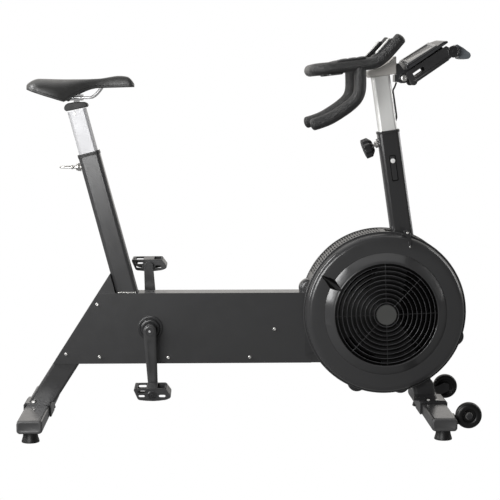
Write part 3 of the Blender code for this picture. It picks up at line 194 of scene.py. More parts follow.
def add_bump(tree, height, distance, strength=1.0):
    bump = add_node(tree, "Bump", strength=strength, distance=distance)
    tree.links.new(height, bump.inputs["Height"])
    tree.links.new(bump.outputs[0], tree.nodes["Principled BSDF"].inputs["Normal"])


def brushed(name, colour, rake, roughness, metallic):
    """Anodised aluminium with fine brushed lines along a raked tube and a slightly uneven sheen."""
    mat = surface(name, colour, roughness, metallic=metallic, mottle=0.03, mottle_scale=5.0,
        rough_spread=0.03)
    tree = mat.node_tree
    turn = add_node(tree, "Mapping", add_node(tree, "TexCoord").outputs["Object"],
        rotation=(0, rake, 0))
    squeeze = add_node(tree, "Mapping", turn.outputs[0], scale=(1.0, 1.0, 0.012))
    lines = add_node(tree, "TexNoise", squeeze.outputs[0], scale=700.0, detail=2.0)
    add_bump(tree, lines.outputs["Fac"], 0.00002, 0.4)
    return mat


def paint(name, level, blue, roughness):
    """Satin dark grey paint of the frame's tubes."""
    return surface(name, (level, level, blue), roughness, grain=0.00002, grain_scale=1500,
        mottle=0.03, rough_spread=0.02)


# One frame paint in three shades: the seat tube's copy is lighter, a painted highlight where the
# lamps fall strongest, and the mast's copy is darker, painted shade where the light falls off.
FRAME = paint("frame_paint", 0.044, 0.045, 0.24)
SEAT_TUBE_LIT_PAINT = paint("seat_tube_lit_paint", 0.052, 0.053, 0.22)
MAST_SHADED_PAINT = paint("mast_shaded_paint", 0.038, 0.039, 0.16)
BLACK = surface("black_paint", (0.026, 0.026, 0.027), 0.24, grain=0.00002, grain_scale=1300,
    wear=0.15, rough_spread=0.04)
CRANK_PAINT = surface("crank_paint", (0.052, 0.052, 0.053), 0.22, grain=0.00001, grain_scale=1300,
    mottle=0.04)
PLASTIC = surface("black_plastic", (0.028, 0.028, 0.029), 0.36, grain=0.00005, grain_scale=1100,
    wear=0.1)
CAP = surface("cap_plastic", (0.07, 0.07, 0.071), 0.42, grain=0.00005, grain_scale=1000,
    mottle=0.05)
HOUSING = surface("housing_plastic", (0.046, 0.046, 0.047), 0.2, grain=0.00001, grain_scale=700,
    mottle=0.04, wear=0.08, rough_spread=0.03)
# Near-black plastic, darker and less reflective than the other plastics: partly the louvres' and
# paddles' own black, partly painted shade inside the fan's inlet. The damper lever and the mast
# pads' shadow rims use it too.
BLACK_AND_SHADE = surface("black_and_shade_plastic", (0.003, 0.003, 0.003), 0.45, grain=0.00001, grain_scale=900,
    specular=0.08)
# Light glossy plastic for the louvres' edge beads, far lighter than the louvres themselves: painted
# highlight lines along the lips.
LIP_HIGHLIGHT = surface("grille_lip_highlight", (0.11, 0.11, 0.115), 0.16, grain=0.00001, grain_scale=900)
HUB = surface("hub_plastic", (0.07, 0.071, 0.068), 0.5, grain=0.00003, grain_scale=900)
MESH = surface("mesh_plastic", (0.014, 0.014, 0.014), 0.34, grain=0.00003, grain_scale=900)
RUBBER = surface("rubber", (0.012, 0.012, 0.012), 0.46, specular=0.35, grain=0.00005,
    grain_scale=700, mottle=0.15)
TYRE = surface("tyre", (0.009, 0.009, 0.009), 0.34, specular=0.35, grain=0.00003, grain_scale=600,
    mottle=0.12)
FOAM = surface("foam_grip", (0.026, 0.026, 0.026), 0.36, grain=0.0012, grain_scale=330, cells=True,
    mottle=0.25, mottle_scale=60)
VINYL = surface("vinyl", (0.026, 0.026, 0.025), 0.44, grain=0.00012, grain_scale=800, cells=True,
    mottle=0.08, mottle_scale=14, specular=1.0)
BASE = surface("saddle_base", (0.016, 0.016, 0.016), 0.5, grain=0.00005, grain_scale=900)
STEEL = surface("zinc_steel", (0.72, 0.71, 0.69), 0.28, metallic=0.85, mottle=0.1, mottle_scale=60)
CHROME = surface("chrome", (0.84, 0.84, 0.84), 0.26, metallic=0.6, mottle=0.04, rough_spread=0.03)
SEAT_ALU = brushed("seat_post_aluminium", (0.52, 0.52, 0.532), -SEAT_RAKE, 0.42, 0.35)
BAR_ALU = brushed("bar_post_aluminium", (0.8, 0.8, 0.78), -MAST_RAKE, 0.42, 0.3)
CASTING = surface("grey_casting", (0.56, 0.54, 0.51), 0.4, mottle=0.04, grain=0.00004,
    grain_scale=900)
PLATE = surface("sensor_plate", (0.82, 0.82, 0.8), 0.34, metallic=0.1, mottle=0.06, mottle_scale=40)
SCREEN = surface("screen", (0.16, 0.157, 0.15), 0.22, mottle=0.05, mottle_scale=30, coat=0.4)
BEZEL = surface("bezel", (0.06, 0.062, 0.065), 0.2, mottle=0.08, mottle_scale=30, coat=0.4)
SMOKE = surface("smoke_plastic", (0.16, 0.175, 0.19), 0.28, mottle=0.12, mottle_scale=50, coat=0.3)
WHITE = surface("white_plastic", (0.88, 0.88, 0.87), 0.35, mottle=0.03)


# ---------------------------------------------------------------- mesh helpers

def add(name, bm, mat, body, smooth=38.0, bevel=0.0, segments=3):
    """Turns a bmesh into a piece that rides on a body."""
    bmesh.ops.recalc_face_normals(bm, faces=bm.faces)
    mesh = bpy.data.meshes.new(name)
    bm.to_mesh(mesh)
    bm.free()
    mesh.materials.append(mat)
    obj = bpy.data.objects.new(name, mesh)
    bpy.context.scene.collection.objects.link(obj)
    mesh.shade_smooth()
    mesh.set_sharp_from_angle(angle=math.radians(smooth))
    if bevel:
        soften(obj, bevel, segments)
    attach(obj, body)
    return obj


def soften(obj, width, segments=3, angle=30.0):
    mod = obj.modifiers.new("soft_edges", "BEVEL")
    mod.width = width
    mod.segments = segments
    mod.limit_method = "ANGLE"
    mod.angle_limit = math.radians(angle)
    mod.harden_normals = True


def dress(name, mat, bevel=0.0, smooth=35.0):
    """Gives a CAD node its finish and soft edges."""
    obj = NODES[name]
    obj.data.materials.clear()
    obj.data.materials.append(mat)
    obj.data.shade_smooth()
    obj.data.set_sharp_from_angle(angle=math.radians(smooth))
    if bevel:
        soften(obj, bevel, 2)
    return obj


def hide(piece, *nodes):
    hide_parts(*nodes)
    return piece


def add_loft(bm, loops, closed=False, caps=True):
    rows = [[bm.verts.new(p) for p in loop] for loop in loops]
    count = len(rows[0])
    pairs = list(zip(rows, rows[1:]))
    if closed:
        pairs.append((rows[-1], rows[0]))
    for a, b in pairs:
        for i in range(count):
            j = (i + 1) % count
            bm.faces.new((a[i], a[j], b[j], b[i]))
    if caps and not closed:
        bm.faces.new(rows[0][::-1])
        bm.faces.new(rows[-1])
    return bm


def loft(loops, closed=False):
    return add_loft(bmesh.new(), loops, closed)


def prism(outline, y0, y1):
    return loft([[(x, y, z) for x, z in outline] for y in (y0, y1)])


def add_prism(bm, outline, y0, y1):
    return add_loft(bm, [[(x, y, z) for x, z in outline] for y in (y0, y1)])


def side_vectors(axis):
    axis = Vector(axis).normalized()
    guide = Vector((0, 1, 0)) if abs(axis.y) < 0.9 else Vector((0, 0, 1))
    side = axis.cross(guide).normalized()
    return axis, side, axis.cross(side).normalized()


def add_turned(bm, profile, centre, axis=(0, 1, 0), segments=64, ring=False, lobes=0, depth=0.0):
    """Turns a profile of (radius, distance along the axis); lobes make a fluted edge."""
    axis, side, up = side_vectors(axis)
    centre = Vector(centre)
    rows = []
    for radius, along in profile:
        base = centre + axis * along
        if radius < 1e-6:
            rows.append([bm.verts.new(base)])
            continue
        row = []
        for i in range(segments):
            a = 2 * math.pi * i / segments
            r = radius + (depth * math.cos(lobes * a) if lobes else 0.0)
            row.append(bm.verts.new(base + r * (math.cos(a) * side + math.sin(a) * up)))
        rows.append(row)
    pairs = list(zip(rows, rows[1:]))
    if ring:
        pairs.append((rows[-1], rows[0]))
    for a, b in pairs:
        for i in range(segments):
            j = (i + 1) % segments
            if len(a) == 1 and len(b) == 1:
                continue
            if len(a) == 1:
                bm.faces.new((a[0], b[j], b[i]))
            elif len(b) == 1:
                bm.faces.new((a[i], a[j], b[0]))
            else:
                bm.faces.new((a[i], a[j], b[j], b[i]))
    return bm


def turned(profile, centre, axis=(0, 1, 0), segments=64, ring=False, lobes=0, depth=0.0):
    return add_turned(bmesh.new(), profile, centre, axis, segments, ring, lobes, depth)


def arc(cr, ca, rr, ra, start, end, steps=6):
    """Points of an elliptical corner in a (radius, along) profile."""
    points = []
    for k in range(steps + 1):
        a = math.radians(start + (end - start) * k / steps)
        points.append((cr + rr * math.cos(a), ca + ra * math.sin(a)))
    return points


def curve_through(points, spacing):
    """Points about one spacing apart on a smooth curve through the given ones."""
    points = [Vector(p) for p in points]
    result = []
    for i in range(len(points) - 1):
        p0, p1 = points[max(i - 1, 0)], points[i]
        p2, p3 = points[i + 1], points[min(i + 2, len(points) - 1)]
        steps = max(1, round((p2 - p1).length / spacing))
        for step in range(steps):
            t = step / steps
            result.append(0.5 * (2 * p1 + (p2 - p0) * t + (2 * p0 - 5 * p1 + 4 * p2 - p3) * t * t
                + (3 * p1 - p0 - 3 * p2 + p3) * t ** 3))
    result.append(points[-1])
    return result


def add_tube(bm, path, radius, sides=20, dome=True):
    """Round bar along a path with domed or flat ends."""
    path = [Vector(p) for p in path]
    last = len(path) - 1
    tangents = [(path[min(i + 1, last)] - path[max(i - 1, 0)]).normalized()
        for i in range(len(path))]
    side = side_vectors(tangents[0])[1]
    stations = []
    for point, tangent in zip(path, tangents):
        side = (side - tangent * side.dot(tangent)).normalized()
        stations.append((point, tangent, side, 1.0))
    if dome:
        def cap(station, sign, angles):
            p, t, s, _ = station
            return [(p + t * sign * radius * 0.55 * math.sin(a), t, s, math.cos(a)) for a in angles]
        steps = (1.45, 1.2, 0.9, 0.6, 0.3)
        stations = cap(stations[0], -1, steps) + stations + cap(stations[-1], 1, steps[::-1])
    loops = []
    for point, tangent, s, scale in stations:
        up = tangent.cross(s)
        loops.append([point + radius * scale * (s * math.cos(2 * math.pi * k / sides) + up
            * math.sin(2 * math.pi * k / sides)) for k in range(sides)])
    return add_loft(bm, loops)


def tube(path, radius, sides=20, dome=True):
    return add_tube(bmesh.new(), path, radius, sides, dome)


def bolt(name, place, axis, body, radius=0.0045, height=0.003, socket=True, mat=None):
    """Round-headed screw with a hex socket, or a plain domed head."""
    r, h = radius, height
    profile = [(0, -0.001), (r, -0.001), (r, h * 0.45)] + arc(r - h * 0.5, h * 0.45, h * 0.5, h
        * 0.55, 0, 90, 4)
    if socket:
        profile += [(r * 0.48, h), (r * 0.44, h * 0.35), (0, h * 0.3)]
    else:
        profile += [(0, h)]
    return add(name, turned(profile, place, axis, 24), mat or STEEL, body, smooth=50)


def hex_head(name, place, axis, body, across=0.008, height=0.005):
    axis, side, up = side_vectors(axis)
    place = Vector(place)
    bm = bmesh.new()
    loops = []
    for along, scale in ((-0.001, 1), (height * 0.8, 1), (height, 0.86)):
        loops.append([place + axis * along + across * scale * (side * math.cos(math.pi * k / 3)
            + up * math.sin(math.pi * k / 3)) for k in range(6)])
    add_loft(bm, loops)
    add_turned(bm, [(0, -0.0005), (across * 1.35, -0.0005), (across * 1.35, 0.001), (0, 0.001)],
        place, axis, 28)
    return add(name, bm, STEEL, body, smooth=25)


def raked(x0, z0, rake, along, across=0.0, y=0.0):
    """Point so far up along the raked line through (x0, z0), and so far forward of it."""
    return Vector((x0 - math.sin(rake) * along + math.cos(rake) * across, y, z0 + math.cos(rake)
        * along + math.sin(rake) * across))


# ---------------------------------------------------------------- floor stand

def rounded(u0, u1, v0, v1, r, steps=5, out=0.0):
    """Rounded rectangle from its upper right corner; out moves the line outward."""
    points = []
    for cu, cv, start in ((u1 - r, v1 - r, 0), (u0 + r, v1 - r, 90), (u0 + r, v0 + r, 180),
            (u1 - r, v0 + r, 270)):
        for k in range(steps + 1):
            a = math.radians(start + 90 * k / steps)
            points.append((cu + (r + out) * math.cos(a), cv + (r + out) * math.sin(a)))
    return points


def make_end_caps():
    """Moulded caps with a rolled rim and a shallow dished face."""
    for end in ("rear", "front"):
        for hand, side in HANDS:
            node = f"{end}_{hand}_end_cap"
            low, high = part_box(node)
            cx, cz = (low.x + high.x) / 2, (low.z + high.z) / 2
            w, h = high.x - low.x, high.z - low.z
            start, face = 0.2453, 0.2553
            stations = [(0.003, start - 0.006), (0.003, start), (0.0006, start)]
            for k in range(7):
                a = math.pi / 2 * k / 6
                stations.append((0.004 * (1 - math.cos(a)), face - 0.004 + 0.004 * math.sin(a)))
            stations += [(0.007, face - 0.0001), (0.0085, face - 0.0008)]
            loops = []
            for inset, y in stations:
                u, v, r = w / 2 - inset, h / 2 - inset, max(0.0095 - inset * 0.5, 0.001)
                loops.append([(x, side * y, z) for x, z in rounded(cx - u, cx + u, cz - v, cz + v,
                    r, 6)])
            hide(add(node + "_moulded", loft(loops), CAP, "frame"), node)


def make_feet():
    """Flared rubber feet on threaded studs."""
    for end in ("rear", "front"):
        for hand in ("right", "left"):
            node = f"{end}_{hand}_foot"
            low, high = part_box(node)
            centre = ((low.x + high.x) / 2, (low.y + high.y) / 2, 0.0)
            profile = [(0, 0.0012), (0.018, 0.0012), (0.0195, 0.0)] + arc(0.0232, 0.0018, 0.0018,
                0.0018, -90, 20, 5)
            profile += [(0.0246, 0.0044), (0.024, 0.0062), (0.0214, 0.015), (0.0204, 0.021),
                (0.0202, 0.0245)]
            profile += arc(0.0186, 0.0252, 0.0016, 0.0016, 0, 90, 4) + [(0.01, 0.0268), (0, 0.0268)]
            body = f"foot_{end}_{hand}"
            hide(add(node + "_pad", turned(profile, centre, (0, 0, 1), 72), RUBBER, body,
                smooth=50), node)
            stud = turned([(0, 0.02), (0.0048, 0.02), (0.0048, 0.044), (0, 0.044)], centre,
                (0, 0, 1), 24)
            add(node + "_stud", stud, STEEL, body)


def make_wheels():
    for hand, side in HANDS:
        node = f"{hand}_transport_wheel"
        centre = (0.612, 0, 0.064)
        y0, y1, r = 0.197, 0.221, 0.037
        out = (0, side, 0)
        profile = [(0.0052, y0 + 0.001), (0.01, y0 + 0.001), (0.0115, y0 + 0.003),
            (0.02, y0 + 0.004), (0.024, y0 + 0.002)]
        profile += arc(r - 0.0085, y0 + 0.0085, 0.0085, 0.0085, -90, 0, 7)
        profile += arc(r - 0.012, y1 - 0.0105, 0.012, 0.0105, 0, 90, 9)
        profile += [(0.0195, y1 - 0.0004), (0.0178, y1 - 0.0022), (0.0168, y1 - 0.008),
            (0.0115, y1 - 0.0088), (0.0102, y1 - 0.007), (0.0098, y1 - 0.0045),
            (0.0052, y1 - 0.0045)]
        hide(add(node + "_moulded", turned(profile, centre, out, 80, ring=True), TYRE,
            f"wheel_{hand}", smooth=50), node)
        hex_head(f"{hand}_wheel_bolt", (0.612, side * (y1 - 0.003), 0.064), out, "frame", 0.0074,
            0.0062)
        bolt(f"{hand}_wheel_inner_bolt", (0.612, side * 0.1985, 0.064), (0, -side, 0), "frame",
            0.007, 0.004)
        dress(f"{hand}_wheel_bracket", BLACK, 0.0012)


def make_floor_stand():
    for node in ("rear_stabiliser", "front_stabiliser"):
        dress(node, FRAME, smooth=50)
    make_end_caps()
    make_feet()
    make_wheels()
    dress("rear_leg", FRAME, 0.0012, 50)
    dress("front_leg", BLACK, 0.0012, 50)
    for k, (x, y, body) in enumerate(((-0.6215, -0.0365, "rear"), (-0.6215, 0.0365, "rear"),
            (-0.5985, 0.0395, "rear"), (0.548, -0.0415, "front"), (0.548, 0.0415, "front"),
            (0.523, -0.0415, "front"), (0.523, 0.0415, "front"))):
        if body == "rear":
            hex_head(f"shoe_bolt_{k}", (x, y, 0.0722), (0, 0, 1), "frame", 0.006, 0.005)
        else:
            bolt(f"shoe_bolt_{k}", (x, y, 0.0722), (0, 0, 1), "frame", 0.005, 0.0034)


# ---------------------------------------------------------------- frame

def weld_bead(name, points, radius, mat):
    """Rippled bead laid along a closed or open line of points."""
    path = curve_through(points, 0.0022)
    bm = bmesh.new()
    sides = 8
    last = len(path) - 1
    rows = []
    side = None
    for i, p in enumerate(path):
        t = (path[min(i + 1, last)] - path[max(i - 1, 0)]).normalized()
        side = side_vectors(t)[1] if side is None else (side - t * side.dot(t)).normalized()
        up = t.cross(side)
        r = radius * (0.92 + 0.08 * math.cos(i * math.pi))
        rows.append([p + r * (side * math.cos(2 * math.pi * k / sides) + up
            * math.sin(2 * math.pi * k / sides)) for k in range(sides)])
    add_loft(bm, rows)
    return add(name, bm, mat, "frame", smooth=80)


def make_frame():
    dress("main_beam", FRAME, 0.0008)
    for hand, side in HANDS:
        dress(f"{hand}_side_cover", FRAME, 0.0016)
        for k, (x, z) in enumerate(((-0.5266, 0.2131), (-0.435, 0.3569), (-0.2319, 0.2013),
                (0.0035, 0.2015), (0.0752, 0.2835), (-0.43, 0.204))):
            bolt(f"{hand}_cover_screw_{k}", (x, side * 0.0361, z), (0, side, 0), "frame", 0.0048,
                0.003)
    heel = [(0.1815, 0.1845), (0.2118, 0.1845), (0.204, 0.196), (0.196, 0.208), (0.1885, 0.2205),
        (0.184, 0.23), (0.1815, 0.23)]
    add("beam_heel", prism(heel, -0.0355, 0.0355), FRAME, "frame", smooth=30)
    dress("seat_tube", SEAT_TUBE_LIT_PAINT, 0.0006, 50)
    dress("mast", MAST_SHADED_PAINT, 0.0006, 50)
    dress("seat_collar", PLASTIC, 0.0005)
    mouth_band("seat_tube_mouth", *SEAT_MOUTH, SEAT_RAKE, "seat_tube", 0.031, 0.0065)
    mouth_band("mast_mouth", *MAST_MOUTH, MAST_RAKE, "mast", 0.031, 0.004)
    dress("mast_collar", PLASTIC, 0.0005)
    dress("fan_fork", BLACK, 0.001)
    mid = raked(*SEAT_MOUTH, SEAT_RAKE, (0.3898 - SEAT_MOUTH[1]) / math.cos(SEAT_RAKE))
    half_x, half_y = 0.031 / math.cos(SEAT_RAKE), 0.025
    # The side beads are bright zinc steel rather than the frame's paint, a painted highlight along
    # the seat tube's foot; the front bead keeps the paint.
    for side in (-1, 1):
        weld_bead(f"seat_tube_weld_{'left' if side > 0 else 'right'}",
            [(mid.x - half_x + 0.006, side * half_y, 0.3902), (mid.x, side * (half_y + 0.0002),
            0.3902), (mid.x + half_x - 0.006, side * half_y, 0.3902)], 0.0018, STEEL)
    weld_bead("seat_tube_weld_front", [(mid.x + half_x + 0.0003, -0.017, 0.3902),
        (mid.x + half_x + 0.0006, 0, 0.3902), (mid.x + half_x + 0.0003, 0.017, 0.3902)], 0.0018,
        FRAME)


def mouth_band(name, x0, z0, rake, node, half_x, height):
    """Black band round the mouth of a raked tube."""
    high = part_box(node)[1]
    half_y = high.y
    top = (high.z - half_x * math.sin(abs(rake)) - z0) / math.cos(rake)
    loops = []
    for along, out in ((top - height, 0.0003), (top - height + 0.0005, 0.0009),
            (top - 0.0006, 0.0009), (top - 0.0001, 0.0004), (top - 0.0001, -0.0006),
            (top - height, -0.0006)):
        loops.append([raked(x0, z0, rake, along, u, v) for u, v in rounded(-half_x, half_x,
            -half_y, half_y, 0.008, out=out)])
    return add(name, loft(loops, closed=True), BASE, "frame", smooth=35)


def make_mast_details():
    """Raised pad with a button on each flank of the mast, over a near-black rim a little wider than
    the pad that paints the pad's shadow.
    """
    at = lambda along, across, y: raked(*MAST_MOUTH, MAST_RAKE, along, across, y)
    for hand, side in HANDS:
        face = 0.028
        middle = -0.0005
        # The rim is a thin near-black sheet just wider than the pad: painted shadow round the pad.
        for tag, half, low, high, depth, mat in (("rim", 0.0095, -0.141, -0.066, 0.0006, BLACK_AND_SHADE),
                ("pad", 0.0072, -0.138, -0.0685, 0.0022, MAST_SHADED_PAINT)):
            loop = rounded(middle - half, middle + half, low, high, half * 0.35, 4)
            loops = [[at(v, u, side * y) for u, v in loop] for y in (face - 0.0004, face + depth)]
            add(f"mast_{hand}_{tag}", loft(loops), mat, "frame", bevel=0.0004,
                segments=2)
        place = at(-0.0825, middle + 0.0002, side * (face + 0.0008))
        profile = [(0, 0), (0.0068, 0), (0.0068, 0.0022)] + arc(0.0056, 0.0022, 0.0012, 0.0012, 0,
            90, 4) + [(0, 0.0034)]
        add(f"mast_{hand}_button", turned(profile, place, (0, side, 0), 32), WHITE, "frame",
            smooth=50)


# ---------------------------------------------------------------- seat

def saddle_profile(t):
    """Half width, crown and lowest wing height of the saddle; t is 0 at its back, 1 at its nose."""
    taper = 1 / (1 + math.exp((t - 0.46) * 11.5))
    width = 0.0215 + (0.0905 - 0.0215) * taper
    back = math.sqrt(max(0.0, 1 - (max(0.0, 0.15 - t) / 0.15) ** 2.3))
    nose = math.sqrt(max(0.0, 1 - (max(0.0, t - 0.94) / 0.06) ** 2.2))
    half = width * (0.45 + 0.55 * back) * (0.5 + 0.5 * nose)
    crown = 1.002 + 0.0085 * math.exp(-((t - 0.87) / 0.13) ** 2) + 0.0008 * math.cos(t * 9)
    crown -= 0.0165 * (max(0.0, 0.12 - t) / 0.12) ** 2.0 + 0.02 * (max(0.0, t - 0.93) / 0.07) ** 2.2
    if t < 0.36:
        wing = 0.9735 - (0.9735 - 0.9375) * (t / 0.36) ** 0.92
    else:
        u = min(1.0, (t - 0.36) / 0.3)
        wing = 0.9375 + (0.9765 - 0.9375) * (1 - (1 - u) ** 1.7)
        wing += 0.003 * max(0.0, (t - 0.66) / 0.34)
    return half, crown, wing


def make_saddle():
    """Padded vinyl cover over a moulded base, with a sewn edge line."""
    rear, front = -0.6278, -0.3255
    stations = 72
    ring = 44
    loops = []
    for s in range(stations + 1):
        t = 0.5 - 0.5 * math.cos(math.pi * s / stations)
        t = 0.55 * t + 0.45 * s / stations
        x = rear + (front - rear) * t
        half, crown, wing = saddle_profile(t)
        loop = []
        for k in range(ring + 1):
            a = math.pi * k / ring
            c, sn = math.cos(a), math.sin(a)
            y = half * math.copysign(abs(c) ** 0.8, c)
            z = wing + 0.002 + (crown - wing - 0.002) * sn ** 0.62
            if abs(y) > half * 0.55:
                z += 0.003 * math.sin(math.pi * (abs(y) / half - 0.55) / 0.45) * min(1.0, t * 6)
            groove = math.exp(-(y / 0.011) ** 2) * math.exp(-((t - 0.42) / 0.26) ** 4)
            z -= 0.0035 * groove
            loop.append((x, y, z))
        lip = min(0.013, half * 0.42)
        roof = max(0.9652, wing + 0.0035)
        loop += [(x, -half + 0.0012, wing - 0.001), (x, -half + lip * 0.6, wing - 0.0006),
            (x, -half + lip, wing + 0.003), (x, -half + 1.5 * lip, roof), (x, 0, roof),
            (x, half - 1.5 * lip, roof), (x, half - lip, wing + 0.003),
            (x, half - lip * 0.6, wing - 0.0006), (x, half - 0.0012, wing - 0.001)]
        loops.append(loop)
    saddle = add("saddle_cover", loft(loops), VINYL, "seat", smooth=70)
    hide(saddle, "saddle")
    seam = bmesh.new()
    for side in (-1, 1):
        path = []
        for s in range(4, 61):
            t = s / 64
            half, _, wing = saddle_profile(t)
            path.append((rear + (front - rear) * t, side * (half + 0.0001), wing + 0.0062))
        add_tube(seam, path, 0.0007, 6)
    add("saddle_piping", seam, BASE, "seat", smooth=80)


def make_rails():
    """Two bent rods that end in the saddle's base."""
    bm = bmesh.new()
    for side in (-1, 1):
        path = [(-0.592, 0.038, 0.9745), (-0.574, 0.034, 0.9625), (-0.553, 0.028, 0.9525),
            (-0.534, 0.0245, 0.9487), (-0.52, 0.024, 0.9485), (-0.485, 0.024, 0.9485),
            (-0.455, 0.024, 0.9485), (-0.444, 0.0235, 0.9508), (-0.434, 0.0225, 0.958),
            (-0.426, 0.0215, 0.9665), (-0.42, 0.0205, 0.9745), (-0.415, 0.02, 0.982)]
        add_tube(bm, curve_through([(x, side * y, z) for x, y, z in path], 0.003), 0.0038, 16,
            dome=False)
    hide(add("saddle_rail_rods", bm, CHROME, "seat", smooth=80), "saddle_rails")


def make_seat():
    make_saddle()
    make_rails()
    dress("seat_post", SEAT_ALU, 0.0005, 50)
    cap = [(-0.5232, 0.914), (-0.518, 0.91), (-0.4597, 0.9222), (-0.4575, 0.927), (-0.46, 0.933),
        (-0.468, 0.9365), (-0.4925, 0.9365), (-0.513, 0.933), (-0.521, 0.928), (-0.5245, 0.92)]
    hide(add("seat_head_cap", prism(cap, -0.0265, 0.0265), BASE, "seat_riser",
        smooth=40, bevel=0.0042, segments=4), "seat_head")
    dress("saddle_clamp", BLACK, 0.0008, 50)
    for side in (-1, 1):
        hand = "left" if side > 0 else "right"
        place = (-0.4945, side * 0.0185, 0.9035)
        bolt(f"seat_post_{hand}_screw", place, (0, side, 0), "seat_riser", 0.0038, 0.0012)
        place = (-0.49, side * 0.0235, 0.9582)
        bolt(f"rail_clamp_{hand}_bolt", place, (0, 0, 1), "seat_clamp", 0.004, 0.003, mat=BLACK)


def make_seat_pin():
    z = 0.7505
    bush = [(0.0058, 0), (0.0125, 0), (0.0125, 0.0016), (0.0098, 0.0022), (0.0098, 0.0128),
        (0.0088, 0.0142), (0.0054, 0.0142)]
    back = -0.4794
    add("seat_pin_bush", turned(bush, (back, 0, z), (-1, 0, 0), 40, ring=True), STEEL, "frame",
        smooth=35)
    nut = bmesh.new()
    rows = []
    for along, r in ((0.0024, 0.0118), (0.003, 0.0128), (0.0085, 0.0128), (0.0091, 0.0118)):
        rows.append([(back - along, r * math.cos(math.pi * k / 3), z + r
            * math.sin(math.pi * k / 3)) for k in range(6)])
    add_loft(nut, rows)
    add("seat_pin_nut", nut, STEEL, "frame", smooth=20)
    bar_x = back - 0.0236
    ring = []
    for k in range(41):
        a = math.pi * k / 40
        ring.append((bar_x - 0.0355 * math.sin(a) ** 0.55, 0.0238
            * math.copysign(abs(math.cos(a)) ** 0.8, math.cos(a)), z))
    bm = tube(ring, 0.0029, 14, dome=False)
    add_tube(bm, [(bar_x, -0.0255, z), (bar_x, 0.0255, z)], 0.0033, 14)
    add_turned(bm, [(0, 0.004), (0.0045, 0.004), (0.0045, 0.0236), (0.0062, 0.0236),
        (0.0062, 0.0275), (0, 0.0275)], (back, 0, z), (-1, 0, 0), 24)
    hide(add("seat_pin_loop", bm, STEEL, "seat_pin", smooth=60), "seat_pull_pin")


# ---------------------------------------------------------------- handlebar

def bar_curve():
    y = GRIP_Y
    half = [(0.4176, y, 1.112), (0.3956, y, 1.0862), (0.3791, y, 1.0683), (0.362, y, 1.0535),
        (0.3403, y, 1.0445), (0.28, y, 1.037), (0.225, y, 1.0305), (0.199, y - 0.01, 1.028),
        (0.1845, y - 0.035, 1.0263)]
    return half + [(0.1835, 0, 1.0262)] + [(px, -py, pz) for px, py, pz in reversed(half)]


def make_handlebar():
    bm = tube(curve_through(bar_curve(), 0.006), GRIP_R, 28)
    drop = [(0.3073, 1.029), (0.3078, 0.9758), (0.2993, 0.9482), (0.2799, 0.9278), (0.2522, 0.908),
        (0.2244, 0.8914), (0.1993, 0.8812), (0.179, 0.875)]
    for side in (-1, 1):
        add_tube(bm, curve_through([(px, side * GRIP_Y, pz) for px, pz in drop], 0.006), GRIP_R
            * 0.99, 28)
    bar = add("handlebar_foam", bm, FOAM, "bar_riser", smooth=80)
    hide(bar, "handlebar")
    cross = tube([(0.352, -GRIP_Y, 1.045), (0.352, GRIP_Y, 1.045)], 0.0146, 32)
    add("handlebar_cross_tube", cross, BLACK, "bar_riser", smooth=50)


def ribbon(path, width, height, y, lift):
    """Low pad along a line in the XZ plane, with rounded ends, standing off it by lift."""
    points = curve_through([(x, 0, z) for x, z in path], 0.003)
    last = len(points) - 1
    loops = []
    for i, p in enumerate(points):
        t = (points[min(i + 1, last)] - points[max(i - 1, 0)]).normalized()
        out = Vector((-t.z, 0, t.x))
        end = min(i, last - i)
        w = width / 2 * (0.55, 0.8, 0.93, 1.0)[min(end, 3)]
        h = height * (0.45, 0.8, 0.95, 1.0)[min(end, 3)]
        base = p + out * lift
        loops.append([base + Vector((0, y - w, 0)), base + Vector((0, y - w, 0)) + out * h * 0.6,
            base + Vector((0, y - w * 0.7, 0)) + out * h, base + Vector((0, y + w * 0.7, 0)) + out
            * h, base + Vector((0, y + w, 0)) + out * h * 0.6, base + Vector((0, y + w, 0))])
    return loft(loops)


def make_grip_pads():
    """Sensor housings on top of the side grips and horns, each with a metal plate."""
    for hand, side in HANDS:
        y = side * (GRIP_Y - 0.002)
        top = [(0.2437, 1.0325), (0.285, 1.0376), (0.3265, 1.0432)]
        add(f"{hand}_top_pad", ribbon(top, 0.022, 0.0048, y, 0.016), PLASTIC, "bar_riser",
            smooth=45)
        for k in range(3):
            x = 0.253 + k * 0.0245
            z = 1.0336 + k * 0.0031
            rib = [(x, z), (x + 0.011, z + 0.0014), (x + 0.0205, z + 0.0026)]
            add(f"{hand}_top_pad_rib_{k}", ribbon(rib, 0.015, 0.0016, y, 0.0206), BEZEL,
                "bar_riser", smooth=45)
        horn = [(0.345, 1.0455), (0.362, 1.0535), (0.3791, 1.0683), (0.3956, 1.0862),
            (0.409, 1.102)]
        add(f"{hand}_horn_pad", ribbon(horn, 0.018, 0.005, y - side * 0.003, 0.0155), PLASTIC,
            "bar_riser", smooth=45)
        plate = [(0.368, 1.056), (0.387, 1.0768), (0.406, 1.0985)]
        add(f"{hand}_horn_plate", ribbon(plate, 0.02, 0.004, y - side * 0.005, 0.0218), PLATE,
            "bar_riser", smooth=45)
        under = [(0.258, 1.0345), (0.236, 1.0318), (0.2154, 1.0294)]
        add(f"{hand}_under_plate", ribbon(under, 0.022, 0.0042, y, 0.0168), BEZEL, "bar_riser",
            smooth=45)


